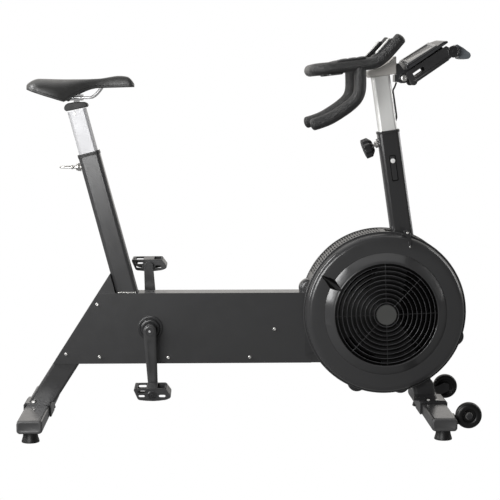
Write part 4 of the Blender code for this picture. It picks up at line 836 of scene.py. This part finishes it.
def make_front_posts():
    dress("handlebar_post", BAR_ALU, 0.0005, 50)
    dress("stem", CASTING, 0.0, 50)
    base = raked(*MAST_MOUTH, MAST_RAKE, -0.0289, -0.031)
    out = Vector((-math.cos(math.radians(22)), 0, -math.sin(math.radians(22))))
    boss = [(0.0056, -0.003), (0.0125, -0.003), (0.0125, 0.004), (0.01, 0.0052), (0.01, 0.0105),
        (0.0086, 0.0118), (0.0056, 0.0118)]
    add("mast_knob_boss", turned(boss, base, out, 40, ring=True), STEEL, "frame",
        smooth=30)
    nut = bmesh.new()
    axis, side_v, up_v = side_vectors(out)
    add_loft(nut, [[base + axis * along + r * (side_v * math.cos(math.pi * k / 3) + up_v
        * math.sin(math.pi * k / 3)) for k in range(6)] for along,
        r in ((-0.0034, 0.014), (0.003, 0.0146), (0.0036, 0.0136))])
    add("mast_knob_nut", nut, BLACK, "frame", smooth=20)
    grip = [(0, 0.017), (0.013, 0.017), (0.0155, 0.0182), (0.0225, 0.024), (0.0256, 0.0262)]
    grip += arc(0.0246, 0.029, 0.0026, 0.0026, -90, 0, 3) + arc(0.0246, 0.0438, 0.0026, 0.003, 0,
        90, 5)
    grip += [(0.0165, 0.048), (0.0155, 0.0468), (0, 0.0468)]
    knob = turned(grip, base, out, 168, lobes=10, depth=0.0016)
    hide(add("mast_knob_grip", knob, BLACK, "bar_knob", smooth=50), "mast_knob")
    stud = turned([(0, -0.001), (0.0044, -0.001), (0.0044, 0.018), (0, 0.018)], base, out, 20)
    add("mast_knob_stud", stud, STEEL, "bar_knob")


def make_cable():
    y = -0.01
    route = [(PIVOT_X - 0.0195, PIVOT_Z - 0.0118), (PIVOT_X - 0.024, 0.979)]
    for z in (0.964, 0.942, 0.915, 0.894):
        p = raked(*MAST_MOUTH, MAST_RAKE, (z - MAST_MOUTH[1]) / math.cos(MAST_RAKE), 0.0265
            + 0.0033)
        route.append((p.x, p.z))
    for depth in (0.0015, -0.006):
        p = raked(*MAST_MOUTH, MAST_RAKE, (0.884 - MAST_MOUTH[1]) / math.cos(MAST_RAKE), 0.0265
            + depth)
        route.append((p.x, p.z))
    cable = tube(curve_through([(x, y, z) for x, z in route], 0.003), 0.0025, 14, dome=False)
    hide(add("console_lead", cable, RUBBER, "bar_riser", smooth=80), "console_cable")
    p = raked(*MAST_MOUTH, MAST_RAKE, (0.884 - MAST_MOUTH[1]) / math.cos(MAST_RAKE), 0.0265, y)
    axis = (math.cos(MAST_RAKE), 0, math.sin(MAST_RAKE))
    grommet = [(0.0027, -0.001), (0.0042, -0.001), (0.0042, 0.0002), (0.0062, 0.0004)]
    grommet += arc(0.0052, 0.001, 0.0012, 0.001, -30, 90, 4) + [(0.0027, 0.002)]
    add("cable_grommet", turned(grommet, p, axis, 28, ring=True), RUBBER, "bar_riser",
        smooth=60)


# ---------------------------------------------------------------- crank drive

def cut(bm, *cutters):
    """Takes the cutters out of a closed bmesh."""
    def hold(shape):
        bmesh.ops.recalc_face_normals(shape, faces=shape.faces)
        mesh = bpy.data.meshes.new("work")
        shape.to_mesh(mesh)
        shape.free()
        obj = bpy.data.objects.new("work", mesh)
        bpy.context.scene.collection.objects.link(obj)
        return obj
    target = hold(bm)
    tools = [hold(cutter) for cutter in cutters]
    for tool in tools:
        mod = target.modifiers.new("cut", "BOOLEAN")
        mod.operation = "DIFFERENCE"
        mod.solver = "EXACT"
        mod.object = tool
    bpy.context.view_layer.update()
    result = bmesh.new()
    result.from_object(target, bpy.context.evaluated_depsgraph_get())
    for obj in [target] + tools:
        mesh = obj.data
        bpy.data.objects.remove(obj)
        bpy.data.meshes.remove(mesh)
    return result


def crank_foot(side):
    reach = CRANK_LENGTH * (1 if side < 0 else -1)
    return Vector((CRANK.x + reach * math.sin(CRANK_LEAN), 0, CRANK.z - reach
        * math.cos(CRANK_LEAN)))


def two_circles(ax, az, ra, bx, bz, rb, steps=20):
    heading = math.atan2(bz - az, bx - ax)
    lean = math.acos((ra - rb) / math.hypot(bx - ax, bz - az))
    points = []
    for k in range(steps + 1):
        a = heading + lean + (2 * math.pi - 2 * lean) * k / steps
        points.append((ax + ra * math.cos(a), az + ra * math.sin(a)))
    for k in range(steps + 1):
        a = heading - lean + 2 * lean * k / steps
        points.append((bx + rb * math.cos(a), bz + rb * math.sin(a)))
    return points


def make_crank(hand, side):
    foot = crank_foot(side)
    inner, outer = 0.084, 0.098
    loops = []
    for y, shrink in ((inner, 0.0012), (inner + 0.0012, 0.0), (outer - 0.0045, 0.0),
            (outer - 0.003, 0.0006), (outer - 0.0014, 0.0018), (outer - 0.0004, 0.0038),
            (outer, 0.006)):
        outline = two_circles(CRANK.x, CRANK.z, 0.0185 - shrink, foot.x, foot.z, 0.0135 - shrink)
        loops.append([(x, side * y, z) for x, z in outline])
    along = (foot - CRANK).normalized()
    a, b = CRANK + along * 0.034, CRANK + along * 0.112
    recess = prism(two_circles(a.x, a.z, 0.0082, b.x, b.z, 0.0062), side * (outer - 0.0012), side
        * (outer + 0.01))
    bore = turned([(0, inner - 0.01), (0.0088, inner - 0.01), (0.0088, outer - 0.004),
        (0, outer - 0.004)], CRANK, (0, side, 0), 32)
    arm = cut(loft(loops), recess, bore)
    boss = [(0.0088, 0.05), (0.0155, 0.05), (0.0165, 0.051), (0.0165, inner + 0.001),
        (0.0088, inner + 0.001)]
    add_turned(arm, boss, CRANK, (0, side, 0), 40, ring=True)
    cap = [(0, outer - 0.003), (0.0128, outer - 0.003), (0.0128, outer + 0.0002),
        (0.012, outer + 0.0011), (0.0108, outer + 0.0011), (0.0102, outer + 0.0004),
        (0.0055, outer + 0.0004), (0, outer + 0.0004)]
    add_turned(arm, cap, CRANK, (0, side, 0), 48)
    eye = [(0, outer - 0.003), (0.0108, outer - 0.003), (0.0108, outer + 0.0009),
        (0.0094, outer + 0.004), (0.006, outer + 0.0046), (0.006, 0.1878), (0, 0.1878)]
    add_turned(arm, eye, foot, (0, side, 0), 32)
    hide(add(f"{hand}_crank_arm", arm, CRANK_PAINT, "crank", smooth=32),
        f"{hand}_crank")
    hex_bolt = bmesh.new()
    r = 0.0036
    add_loft(hex_bolt, [[(CRANK.x + q * math.cos(math.pi * k / 3 + 0.3), side * y, CRANK.z + q
        * math.sin(math.pi * k / 3 + 0.3)) for k in range(6)] for y,
        q in ((outer + 0.0002, r), (outer + 0.0022, r), (outer + 0.003, r * 0.75))])
    add(f"{hand}_crank_bolt", hex_bolt, CHROME, "crank", smooth=25)


def make_pedal(hand, side):
    """Cage with cut-out side plates, toothed front and rear walls and a round barrel."""
    foot = crank_foot(side)
    cx, cz = foot.x, foot.z
    outline = [(-0.0505, 0.014), (-0.05, 0.017), (-0.0484, 0.0182), (-0.01, 0.0186),
        (0.034, 0.019), (0.0375, 0.0183), (0.04, 0.0164), (0.0525, -0.001), (0.0527, -0.005),
        (0.0505, -0.0085), (0.044, -0.0115), (0.036, -0.0138), (0.02, -0.0156), (0.004, -0.0165),
        (-0.015, -0.0157), (-0.034, -0.0138), (-0.038, -0.012), (-0.0405, -0.0088)]
    y0, y1 = 0.103, 0.192
    place = lambda points: [(cx + u, cz + v) for u, v in points]
    solid = prism(place(outline), side * y0, side * y1)
    shrunk = [(u * 0.86, v * 0.66) for u, v in outline]
    hollow = [prism(place(shrunk), side * (y0 + 0.006), side * (y1 - 0.006))]
    opening = []
    for u0, u1 in ((-0.04, -0.016), (0.015, 0.04)):
        bm = bmesh.new()
        loop = [(side * (y0 + 0.007), u0), (side * (y0 + 0.007), u1), (side * (y1 - 0.007), u1),
            (side * (y1 - 0.007), u0)]
        add_loft(bm, [[(cx + u, y, cz + v) for y, u in loop] for v in (-0.04, 0.06)])
        opening.append(bm)
    windows = [prism(place(rounded(u0, u1, v0, v1, min(u1 - u0, v1 - v0) / 2)), side * (y0 - 0.01),
        side * (y1 + 0.01)) for u0, u1, v0, v1 in ((-0.04, -0.017, 0.0055, 0.013),
        (-0.037, -0.02, -0.006, 0.0005), (0.0195, 0.038, -0.0065, 0.001))]
    cage = cut(solid, *hollow, *opening, *windows)
    barrel = [(0.0066, y0 + 0.0001), (0.0126, y0 + 0.0001), (0.0126, y1 + 0.0012),
        (0.0066, y1 + 0.0012)]
    add_turned(cage, barrel, (cx, 0, cz), (0, side, 0), 44, ring=True)
    for sign in (-1, 1):
        for k in range(7):
            y = side * (y0 + 0.012 + k * 0.0108)
            u = -0.047 if sign < 0 else 0.0375
            stud = [(0, -0.002), (0.0024, -0.002), (0.0018, 0.0012), (0, 0.0013)]
            add_turned(cage, stud, (cx + u + 0.003 * (sign < 0), y, cz + 0.0182), (0, 0, 1), 10)
    piece = add(f"{hand}_pedal_cage", cage, PLASTIC, f"pedal_{hand}", smooth=30,
        bevel=0.0007, segments=2)
    hide(piece, f"{hand}_pedal")
    cap = [(0, y1 - 0.002), (0.0124, y1 - 0.002), (0.0124, y1 + 0.002), (0.0112, y1 + 0.0032),
        (0.0092, y1 + 0.0032), (0.0086, y1 + 0.0022), (0.0062, y1 + 0.0022), (0.0056, y1 + 0.0034),
        (0.003, y1 + 0.0036), (0.0022, y1 + 0.0026), (0, y1 + 0.0026)]
    add(f"{hand}_pedal_cap", turned(cap, (cx, 0, cz), (0, side, 0), 48), BLACK, f"pedal_{hand}",
        smooth=32)


def make_crank_drive():
    for hand, side in HANDS:
        make_crank(hand, side)
        make_pedal(hand, side)
        cup = [(0.0094, 0.0334), (0.02, 0.0334), (0.0205, 0.0362), (0.0355, 0.0362),
            (0.036, 0.0367)]
        cup += [(0.036, 0.0395)] + arc(0.0345, 0.0395, 0.0015, 0.0012, 0, 90, 3)
        cup += [(0.029, 0.0412), (0.028, 0.0408)] + arc(0.0235, 0.043, 0.0042, 0.0058, -20, 80, 8)
        cup += [(0.019, 0.0488), (0.0175, 0.048), (0.0094, 0.048)]
        hide(add(f"{hand}_cup", turned(cup, CRANK, (0, side, 0), 72, ring=True), BLACK, "frame",
            smooth=32), f"{hand}_bearing_cup")
    for node, mat in (("crank_axle", STEEL), ("drive_pulley", PLASTIC), ("fan_axle", STEEL),
            ("drive_belt", RUBBER)):
        dress(node, mat)


# ---------------------------------------------------------------- fan

def make_covers():
    outside = [(0.2318, 0.0603), (0.2338, 0.0603), (0.2345, 0.061), (0.2345, 0.0648)]
    outside += arc(0.2331, 0.0648, 0.0014, 0.0014, 0, 90, 4)
    outside += [(0.2312, 0.0662), (0.2303, 0.0652), (0.2296, 0.0652), (0.229, 0.0666)]
    outside += arc(0.21, 0.069, 0.0186, 0.0203, -4, 86, 16)
    outside += [(0.203, 0.0898), (0.19, 0.0903)]
    inside = [(0.2085, 0.0866), (0.224, 0.0755), (0.2318, 0.064)]
    right = outside + [(RING_EDGE_R + 0.0006, 0.0905), (RING_EDGE_R + 0.0003, 0.0902),
        (RING_EDGE_R + 0.0003, 0.088)] + inside
    hide(add("right_cover", turned(right, FAN, (0, -1, 0), 160, ring=True), HOUSING, "frame",
        smooth=38), "right_fan_cover")
    left = outside + [(RING_EDGE_R + 0.001, 0.0905), (RING_EDGE_R + 0.0004,
        0.0896)] + ring_profile() + inside
    hide(add("left_cover", turned(left, FAN, (0, 1, 0), 160, ring=True), HOUSING, "frame",
        smooth=38), "left_fan_cover")


def ring_profile():
    """Raised ring round the grille, from its foot on the cover to the bore and back."""
    return [(RING_EDGE_R, 0.0896), (RING_EDGE_R, 0.091), (RING_EDGE_R - 0.0006, 0.0916),
        (0.169, 0.0972), (0.162, 0.1034), (0.156, 0.1086), (0.1524, 0.1116), (0.1506, 0.1127),
        (0.149, RING_FACE_Y), (RING_BORE_R + 0.0006, RING_FACE_Y), (RING_BORE_R, 0.1124),
        (RING_BORE_R, 0.1036), (0.17, 0.088)]


def make_damper():
    """Turning ring with a pointed lever laid over the cover."""
    profile = ring_profile() + [(RING_EDGE_R, 0.088)]
    ring = turned(profile, FAN, (0, -1, 0), 160, ring=True)
    hide(add("damper", ring, HOUSING, "damper", smooth=38), "damper_ring")

    def polar(radius, degrees, y):
        a = math.radians(degrees)
        return (FAN.x + radius * math.cos(a), -y, FAN.z + radius * math.sin(a))
    foot = [(0.1478, 146.9), (0.17, 145.6), (0.19, 146.6), (0.214, 148.6), (0.2165, 149.4),
        (0.213, 149.9), (0.196, 151.6), (0.18, 154.6), (0.164, 156.6), (0.1478, 155.4)]
    top = [(0.1484, 150.0, 0.1142), (0.17, 148.8, 0.109), (0.19, 148.9, 0.102),
        (0.211, 149.2, 0.0958), (0.215, 149.4, 0.094), (0.211, 149.6, 0.0958), (0.195, 150.2, 0.1),
        (0.18, 151.4, 0.1055), (0.164, 152.6, 0.111), (0.1484, 152.4, 0.1142)]
    low = [polar(r, d, 0.0909) for r, d in foot]
    bm = loft([low, [polar(r, d, y) for r, d, y in top]])
    add("damper_lever", bm, BLACK_AND_SHADE, "damper", smooth=25, bevel=0.0006, segments=2)
    # A small lighter dot at the lever's tip: painted glint.
    dot = turned([(0, 0), (0.0019, 0), (0.0016, 0.0008), (0, 0.001)], polar(0.212, 149.4, 0.0945),
        (0, -1, 0), 16)
    add("damper_lever_tip_glint", dot, BEZEL, "damper", smooth=40)


def blade_section(mid, half, y0, y1):
    """Four corners of a thin blade that stands along Y."""
    low, high = Vector((0, y0, 0)), Vector((0, y1, 0))
    return [mid - half + low, mid + half + low, mid + half + high, mid - half + high]


def make_grille(hand, side):
    """Louvred inlet: a hub disc, nine slanted rings whose lips are beaded in a lighter plastic as
    painted highlight, and eight thin spokes topped with lighter bars as painted highlight lines.
    """
    axis = (0, side, 0)
    disc = turned([(0, 0.1046), (0.029, 0.1046), (0.029, 0.109), (0.0284, 0.1096), (0, 0.1096)],
        FAN, axis, 72)
    add(f"{hand}_grille_hub", disc, HUB, "frame", smooth=32)
    rings = bmesh.new()
    lips = bmesh.new()
    spokes = bmesh.new()
    count = 9
    pitch = (0.1462 - 0.029) / count
    for k in range(1, count + 1):
        edge = 0.029 + pitch * k
        root = edge - pitch * 0.6
        profile = [(root, 0.105), (root, 0.1098), (root + 0.001, 0.1098), (root + 0.0014, 0.1082),
            (edge, 0.1058), (edge, 0.1046)]
        add_turned(rings, profile, FAN, axis, 144, ring=True)
        add_turned(lips, arc(root + 0.0006, 0.1103, 0.00055, 0.00055, 0, 315, 7), FAN, axis, 144,
            ring=True)
    for k in range(8):
        a = math.radians(45 * k + (2.0 if side < 0 else -2.0))
        out = Vector((math.cos(a), 0, math.sin(a)))
        cross = Vector((-math.sin(a), 0, math.cos(a))) * 0.0006
        loops = []
        for r in (0.0284, 0.146):
            loops.append(blade_section(FAN + out * r, cross, side * 0.1041, side * 0.1092))
        add_loft(rings, loops)
        add_tube(spokes, [FAN + out * r + Vector((0, side * 0.1104, 0))
            for r in (0.0296, 0.09, 0.1458)], 0.0005, 8)
    # Thin bars of the lighter housing plastic laid over the black spoke blades: painted highlight
    # lines.
    add(f"{hand}_grille_spoke_highlights", spokes, HOUSING, "frame", smooth=60)
    # Lips in the lighter plastic: painted highlight along each louvre's edge.
    add(f"{hand}_grille_lips", lips, LIP_HIGHLIGHT, "frame", smooth=60)
    hide(add(f"{hand}_grille_rings", rings, BLACK_AND_SHADE, "frame", smooth=30),
        f"{hand}_grille")


def make_fan_wheel():
    """Paddle wheel: a hub, a thin web, twenty-four paddles on each face and a rim."""
    bm = turned([(0.0064, -0.0118), (0.03, -0.0118), (0.034, -0.008), (0.035, 0.006),
        (0.17, 0.007), (0.176, -0.0118), (0.1895, -0.0118), (0.19, -0.01), (0.19, 0.028),
        (0.1895, 0.0298), (0.176, 0.0298), (0.17, 0.01), (0.035, 0.011), (0.034, 0.026),
        (0.03, 0.0298), (0.0064, 0.0298)], FAN, (0, 1, 0), 120, ring=True)
    for k in range(24):
        a = 2 * math.pi * k / 24
        out = Vector((math.cos(a), 0, math.sin(a)))
        side = Vector((-math.sin(a), 0, math.cos(a)))
        loops = []
        for r, w in ((0.045, 0.0009), (0.172, 0.0009)):
            mid = FAN + out * r
            loops.append(blade_section(mid, side * w, -0.0112, 0.0292))
        add_loft(bm, loops)
    hide(add("fan_paddles", bm, BLACK_AND_SHADE, "fan", smooth=30), "fan_wheel")


def make_guard_band():
    """Perforated guard: a grid of slots in a drum, left plain near the frame's openings."""
    outer, inner = 0.2325, 0.2303
    rows = [-0.06, -0.0535, -0.0435, -0.0335, -0.03, -0.01, 0.01, 0.03, 0.0335, 0.0435, 0.0535,
        0.06]
    slots = {1, 2, 4, 6, 8, 9}
    count = 360
    turn = [(math.cos(math.radians(k)), math.sin(math.radians(k))) for k in range(count)]

    def opened(row, k):
        c, s = math.cos(math.radians(k + 0.5)), math.sin(math.radians(k + 0.5))
        x, z = FAN.x + outer * c, FAN.z + outer * s
        y = abs((rows[row] + rows[row + 1]) / 2)
        if x < 0.25 and 0.178 < z < 0.395 and y < 0.0435:
            return True
        if 0.395 < x < 0.492 and z > 0.5 and y < 0.03:
            return True
        return 0.445 < x < 0.56 and z < 0.17 and y < 0.0435

    def plain(k):
        return 152 <= k <= 218 or 60 <= k <= 92 or 276 <= k <= 318
    bm = bmesh.new()
    verts = {}

    def vert(row, k, radius):
        key = (row, k % count, radius)
        if key not in verts:
            c, s = turn[k % count]
            verts[key] = bm.verts.new((FAN.x + radius * c, rows[row], FAN.z + radius * s))
        return verts[key]

    def solid(row, k):
        k %= count
        if not 0 <= row < len(rows) - 1 or opened(row, k):
            return False
        return not (row in slots and k % 2 and not plain(k))
    for row in range(len(rows) - 1):
        for k in range(count):
            if not solid(row, k):
                continue
            for radius in (outer, inner):
                bm.faces.new((vert(row, k, radius), vert(row, k + 1, radius),
                    vert(row + 1, k + 1, radius), vert(row + 1, k, radius)))
            for a, b, covered in (((row, k), (row, k + 1), solid(row - 1, k)),
                    ((row + 1, k), (row + 1, k + 1), solid(row + 1, k)),
                    ((row, k), (row + 1, k), solid(row, k - 1)),
                    ((row, k + 1), (row + 1, k + 1), solid(row, k + 1))):
                if not covered:
                    bm.faces.new((vert(*a, outer), vert(*b, outer), vert(*b, inner),
                        vert(*a, inner)))
    band = add("guard_mesh", bm, MESH, "frame", smooth=35)
    hide(band, "guard_band")
    for degrees in (163.5, 251.0, 284.0, 339.5):
        loops = []
        for y, shrink in ((-0.02, 0.34), (-0.0186, 0.72), (-0.016, 0.92), (-0.012, 1.0),
                (0.012, 1.0), (0.016, 0.92), (0.0186, 0.72), (0.02, 0.34)):
            loop = []
            for k in range(25):
                u = k / 24
                a = math.radians(degrees + (u - 0.5) * 13.0 * (0.7 + 0.3 * shrink))
                r = 0.2322 + 0.0205 * shrink * math.sin(math.pi * u) ** 0.55
                loop.append(FAN + Vector((r * math.cos(a), y, r * math.sin(a))))
            loops.append(loop)
        add(f"guard_lug_{degrees:.0f}", loft(loops), BLACK, "frame", smooth=50)


def make_cover_clip():
    """Tapered hook at the top of each cover, with a button at each end."""
    for hand, side in HANDS:
        outline = [(0.44, 0.5705), (0.4455, 0.5745), (0.456, 0.5705), (0.4615, 0.56),
            (0.463, 0.544), (0.462, 0.526), (0.459, 0.5205), (0.4555, 0.523), (0.4545, 0.538),
            (0.451, 0.552), (0.444, 0.56)]
        add(f"{hand}_cover_clip", prism(outline, side * 0.064, side * 0.093), BLACK, "frame",
            smooth=45, bevel=0.0016, segments=3)
        bolt(f"{hand}_cover_clip_button", (0.45, side * 0.093, 0.5665), (0, side, 0), "frame",
            0.0034, 0.0018)
        bolt(f"{hand}_cover_clip_tip", (0.4587, side * 0.093, 0.526), (0, side, 0), "frame",
            0.0026, 0.0018)


def make_fan():
    make_covers()
    make_damper()
    make_grille("right", -1)
    make_grille("left", 1)
    make_fan_wheel()
    make_guard_band()
    make_cover_clip()


# ---------------------------------------------------------------- console

FACE_LOW, FACE_HIGH = Vector((0.434, 0, 1.0545)), Vector((0.525, 0, 1.112))
FACE_ALONG = (FACE_HIGH - FACE_LOW).normalized()
FACE_OUT = Vector((-FACE_ALONG.z, 0, FACE_ALONG.x))
HOLDER_LOW, HOLDER_HIGH = Vector((0.464, 0, 0.999)), Vector((0.586, 0, 1.0829))
HOLDER_ALONG = (HOLDER_HIGH - HOLDER_LOW).normalized()
HOLDER_OUT = Vector((-HOLDER_ALONG.z, 0, HOLDER_ALONG.x))
HOLDER_LENGTH = (HOLDER_HIGH - HOLDER_LOW).length


def on_face(u, y, t):
    """The display's face leans a little towards the right hand side."""
    return FACE_LOW + FACE_ALONG * u + FACE_OUT * (t - 0.013 + 0.125 * y) + Vector((0, y, 0))


def on_holder(u, y, t):
    return HOLDER_LOW + HOLDER_ALONG * u + HOLDER_OUT * t + Vector((0, y, 0))


def rounded_plate(place, u0, u1, y0, y1, t0, t1, corner, edge=0.0006, steps=5):
    """Rounded rectangular plate with softened top edges; place maps (u, y, t) to the world."""
    loops = []
    for t, shrink in ((t0, 0.0), (t1 - edge, 0.0), (t1 - edge * 0.35, edge * 0.35), (t1, edge)):
        loops.append([place(u, y, t) for u, y in rounded(u0, u1, y0, y1, corner, steps, -shrink)])
    return loft(loops)


def make_console_case():
    loops = []
    for y in (-0.056, 0.056):
        drop = FACE_OUT * (0.013 - 0.125 * y)
        top = [Vector((x, y, z)) - drop * part for x, z, part in ((0.56, 1.113, 0.25),
            (0.545, 1.1165, 0.6), (0.525, 1.112, 1.0), (0.434, 1.0545, 1.0))]
        loops.append([Vector((x, y, z)) for x, z in ((0.4475, 1.0255), (0.456, 1.0285),
            (0.5655, 1.104))] + top)
    case = loft(loops)
    hide(add("console_shell", case, BLACK, "console", smooth=32, bevel=0.0025,
        segments=4), "console_case", "console_screen")
    for hand, side in HANDS:
        ear = bmesh.new()
        add_prism(ear, two_circles(PIVOT_X, PIVOT_Z, 0.0142, 0.461, 1.036, 0.01), side * 0.0238,
            side * 0.0296)
        add(f"console_{hand}_ear", ear, BLACK, "console", smooth=32, bevel=0.0012,
            segments=3)
        for k, (lift, depth) in enumerate(((0.0035, 0.001), (0.0068, 0.0007))):
            a = Vector((0.4585, 0, 1.03)) + Vector((-0.5665, 0, 0.824)) * lift
            b = Vector((0.556, 0, 1.0974)) + Vector((-0.5665, 0, 0.824)) * (lift * 0.75)
            rib = prism(two_circles(a.x, a.z, 0.0011, b.x, b.z, 0.00105), side * 0.0555, side
                * (0.056 + depth))
            add(f"console_{hand}_rib_{k}", rib, BEZEL, "console", smooth=40)
    frame_bm = rounded_plate(on_face, 0.003, 0.1062, -0.0535, 0.0535, -0.001, 0.003, 0.006, 0.0012)
    window = rounded_plate(on_face, 0.015, 0.096, -0.044, 0.044, 0.0006, 0.01, 0.003)
    add("console_bezel", cut(frame_bm, window), BEZEL, "console", smooth=32,
        bevel=0.0004, segments=2)
    lcd = rounded_plate(on_face, 0.019, 0.092, -0.0405, 0.0405, 0.0004, 0.0012, 0.002, 0.0002)
    add("console_lcd", lcd, SCREEN, "console", smooth=32)
    for k in range(4):
        place = on_face(0.0092, -0.03 + 0.02 * k, 0.0026)
        button = [(0, 0), (0.0042, 0), (0.0042, 0.0008), (0.0032, 0.0015), (0, 0.0016)]
        add(f"console_button_{k}", turned(button, place, FACE_OUT, 28), CAP, "console",
            smooth=40)
    head = [(0, 0.0298), (0.0092, 0.0298), (0.0095, 0.0304), (0.0095, 0.0342), (0.0088, 0.0358),
        (0.007, 0.0365), (0.0052, 0.0365), (0.0048, 0.0345), (0, 0.0343)]
    screw = turned(head, (PIVOT_X, 0, PIVOT_Z), (0, -1, 0), 40)
    hide(add("console_pivot_screw", screw, STEEL, "console", smooth=32), "console_screw")
    left_nut = [(0, 0.0298), (0.008, 0.0298), (0.008, 0.0335), (0.0068, 0.0346), (0, 0.0346)]
    add("console_pivot_nut", turned(left_nut, (PIVOT_X, 0, PIVOT_Z), (0, 1, 0), 6), STEEL,
        "console", smooth=20)
    dress("console_bracket", BLACK, 0.001)


def make_device_holder():
    """Ladder-sided tray under the console, with its clamping knob and hooked arm."""
    length = HOLDER_LENGTH
    tray = rounded_plate(on_holder, 0.0, length, -0.0445, 0.0445, -0.006, 0.0, 0.004, 0.001)
    windows = [rounded_plate(on_holder, a0, a1, y0, y1, -0.01, 0.02, 0.003) for a0,
        a1 in ((0.022, 0.062), (0.072, 0.122)) for y0, y1 in ((-0.034, -0.006), (0.006, 0.034))]
    bm = cut(tray, *windows)

    def side_plate(points, y0, y1):
        return prism([(p.x, p.z) for p in [on_holder(u, 0, t) for u, t in points]], y0, y1)
    for side in (-1, 1):
        y0, y1 = side * 0.0385, side * 0.0452
        outline = [(-0.0035, 0.022), (-0.0065, 0.012), (-0.0055, -0.008), (0.001, -0.013),
            (length - 0.03, -0.013), (length - 0.016, -0.011), (length - 0.006, -0.002),
            (length - 0.006, 0.008), (length - 0.014, 0.024), (0.001, 0.026)]
        plate = side_plate(outline, y0, y1)
        hole = [(0.012, 0.0008), (0.048, 0.0008), (0.048, 0.013), (0.012, 0.013)]
        plate = cut(plate, side_plate(hole, side * 0.03, side * 0.06))
        mesh = bpy.data.meshes.new("plate")
        plate.to_mesh(mesh)
        plate.free()
        bm.from_mesh(mesh)
        bpy.data.meshes.remove(mesh)
        add_tube(bm, [on_holder(0.006, side * 0.0425, -0.008), on_holder(length - 0.03, side
            * 0.0425, -0.008)], 0.0062, 24)
        a, b = on_holder(0.002, 0, -0.008), Vector((0.4585, 0, 1.015))
        add_prism(bm, two_circles(a.x, a.z, 0.01, b.x, b.z, 0.0045), side * 0.03, side * 0.044)
    add_prism(bm, [(p.x, p.z) for p in (on_holder(0.064, 0, -0.0125), on_holder(0.126, 0, -0.0125),
        on_holder(0.126, 0, -0.0002), on_holder(0.064, 0, -0.0002))], -0.03, 0.03)
    hide(add("holder_tray", bm, PLASTIC, "console", smooth=30, bevel=0.0006,
        segments=2), "device_holder")
    root = on_holder(length - 0.012, 0, 0.0065)
    corner = root + HOLDER_ALONG * 0.013
    heel = corner - HOLDER_OUT * 0.0225
    top = root + HOLDER_OUT * 0.0055
    outline = [(root.x, root.z), (corner.x, corner.z), (heel.x, heel.z), (0.599, 1.0602),
        (0.608, 1.0582), (0.6216, 1.058), (0.6285, 1.0585), (0.6335, 1.0635), (0.635, 1.07),
        (0.631, 1.0765), (0.612, 1.0905), (0.5949, 1.1), (top.x + 0.004, top.z + 0.0015),
        (top.x, top.z)]
    arm = prism(outline, -0.03, 0.03)
    hide(add("phone_hook", arm, SMOKE, "phone_arm", smooth=32, bevel=0.0022,
        segments=4), "device_arm")
    centre = on_holder(length - 0.0072, 0, -0.0005)
    knob = [(0, 0.0455), (0.012, 0.0455), (0.014, 0.0462), (0.0158, 0.048), (0.0168, 0.0492),
        (0.0168, 0.0565)]
    knob += arc(0.015, 0.0565, 0.0018, 0.0036, 0, 90, 5) + [(0.0132, 0.06), (0.0124, 0.0592),
        (0.005, 0.0592)]
    knob += [(0.0042, 0.0602), (0.0022, 0.0602), (0.0016, 0.0594), (0, 0.0594)]
    hide(add("holder_knob", turned(knob, centre, (0, -1, 0), 144, lobes=24, depth=0.00025), BLACK,
        "phone_knob", smooth=38), "device_knob")
    dot = turned([(0, 0.059), (0.0013, 0.059), (0.001, 0.06), (0, 0.0602)], centre, (0, -1, 0), 12)
    add("holder_knob_dot", dot, BEZEL, "phone_knob", smooth=40)


# ---------------------------------------------------------------- whole bike

make_studio()
make_floor_stand()
make_frame()
make_mast_details()
make_seat()
make_seat_pin()
make_crank_drive()
make_fan()
make_handlebar()
make_grip_pads()
make_front_posts()
make_cable()
make_console_case()
make_device_holder()
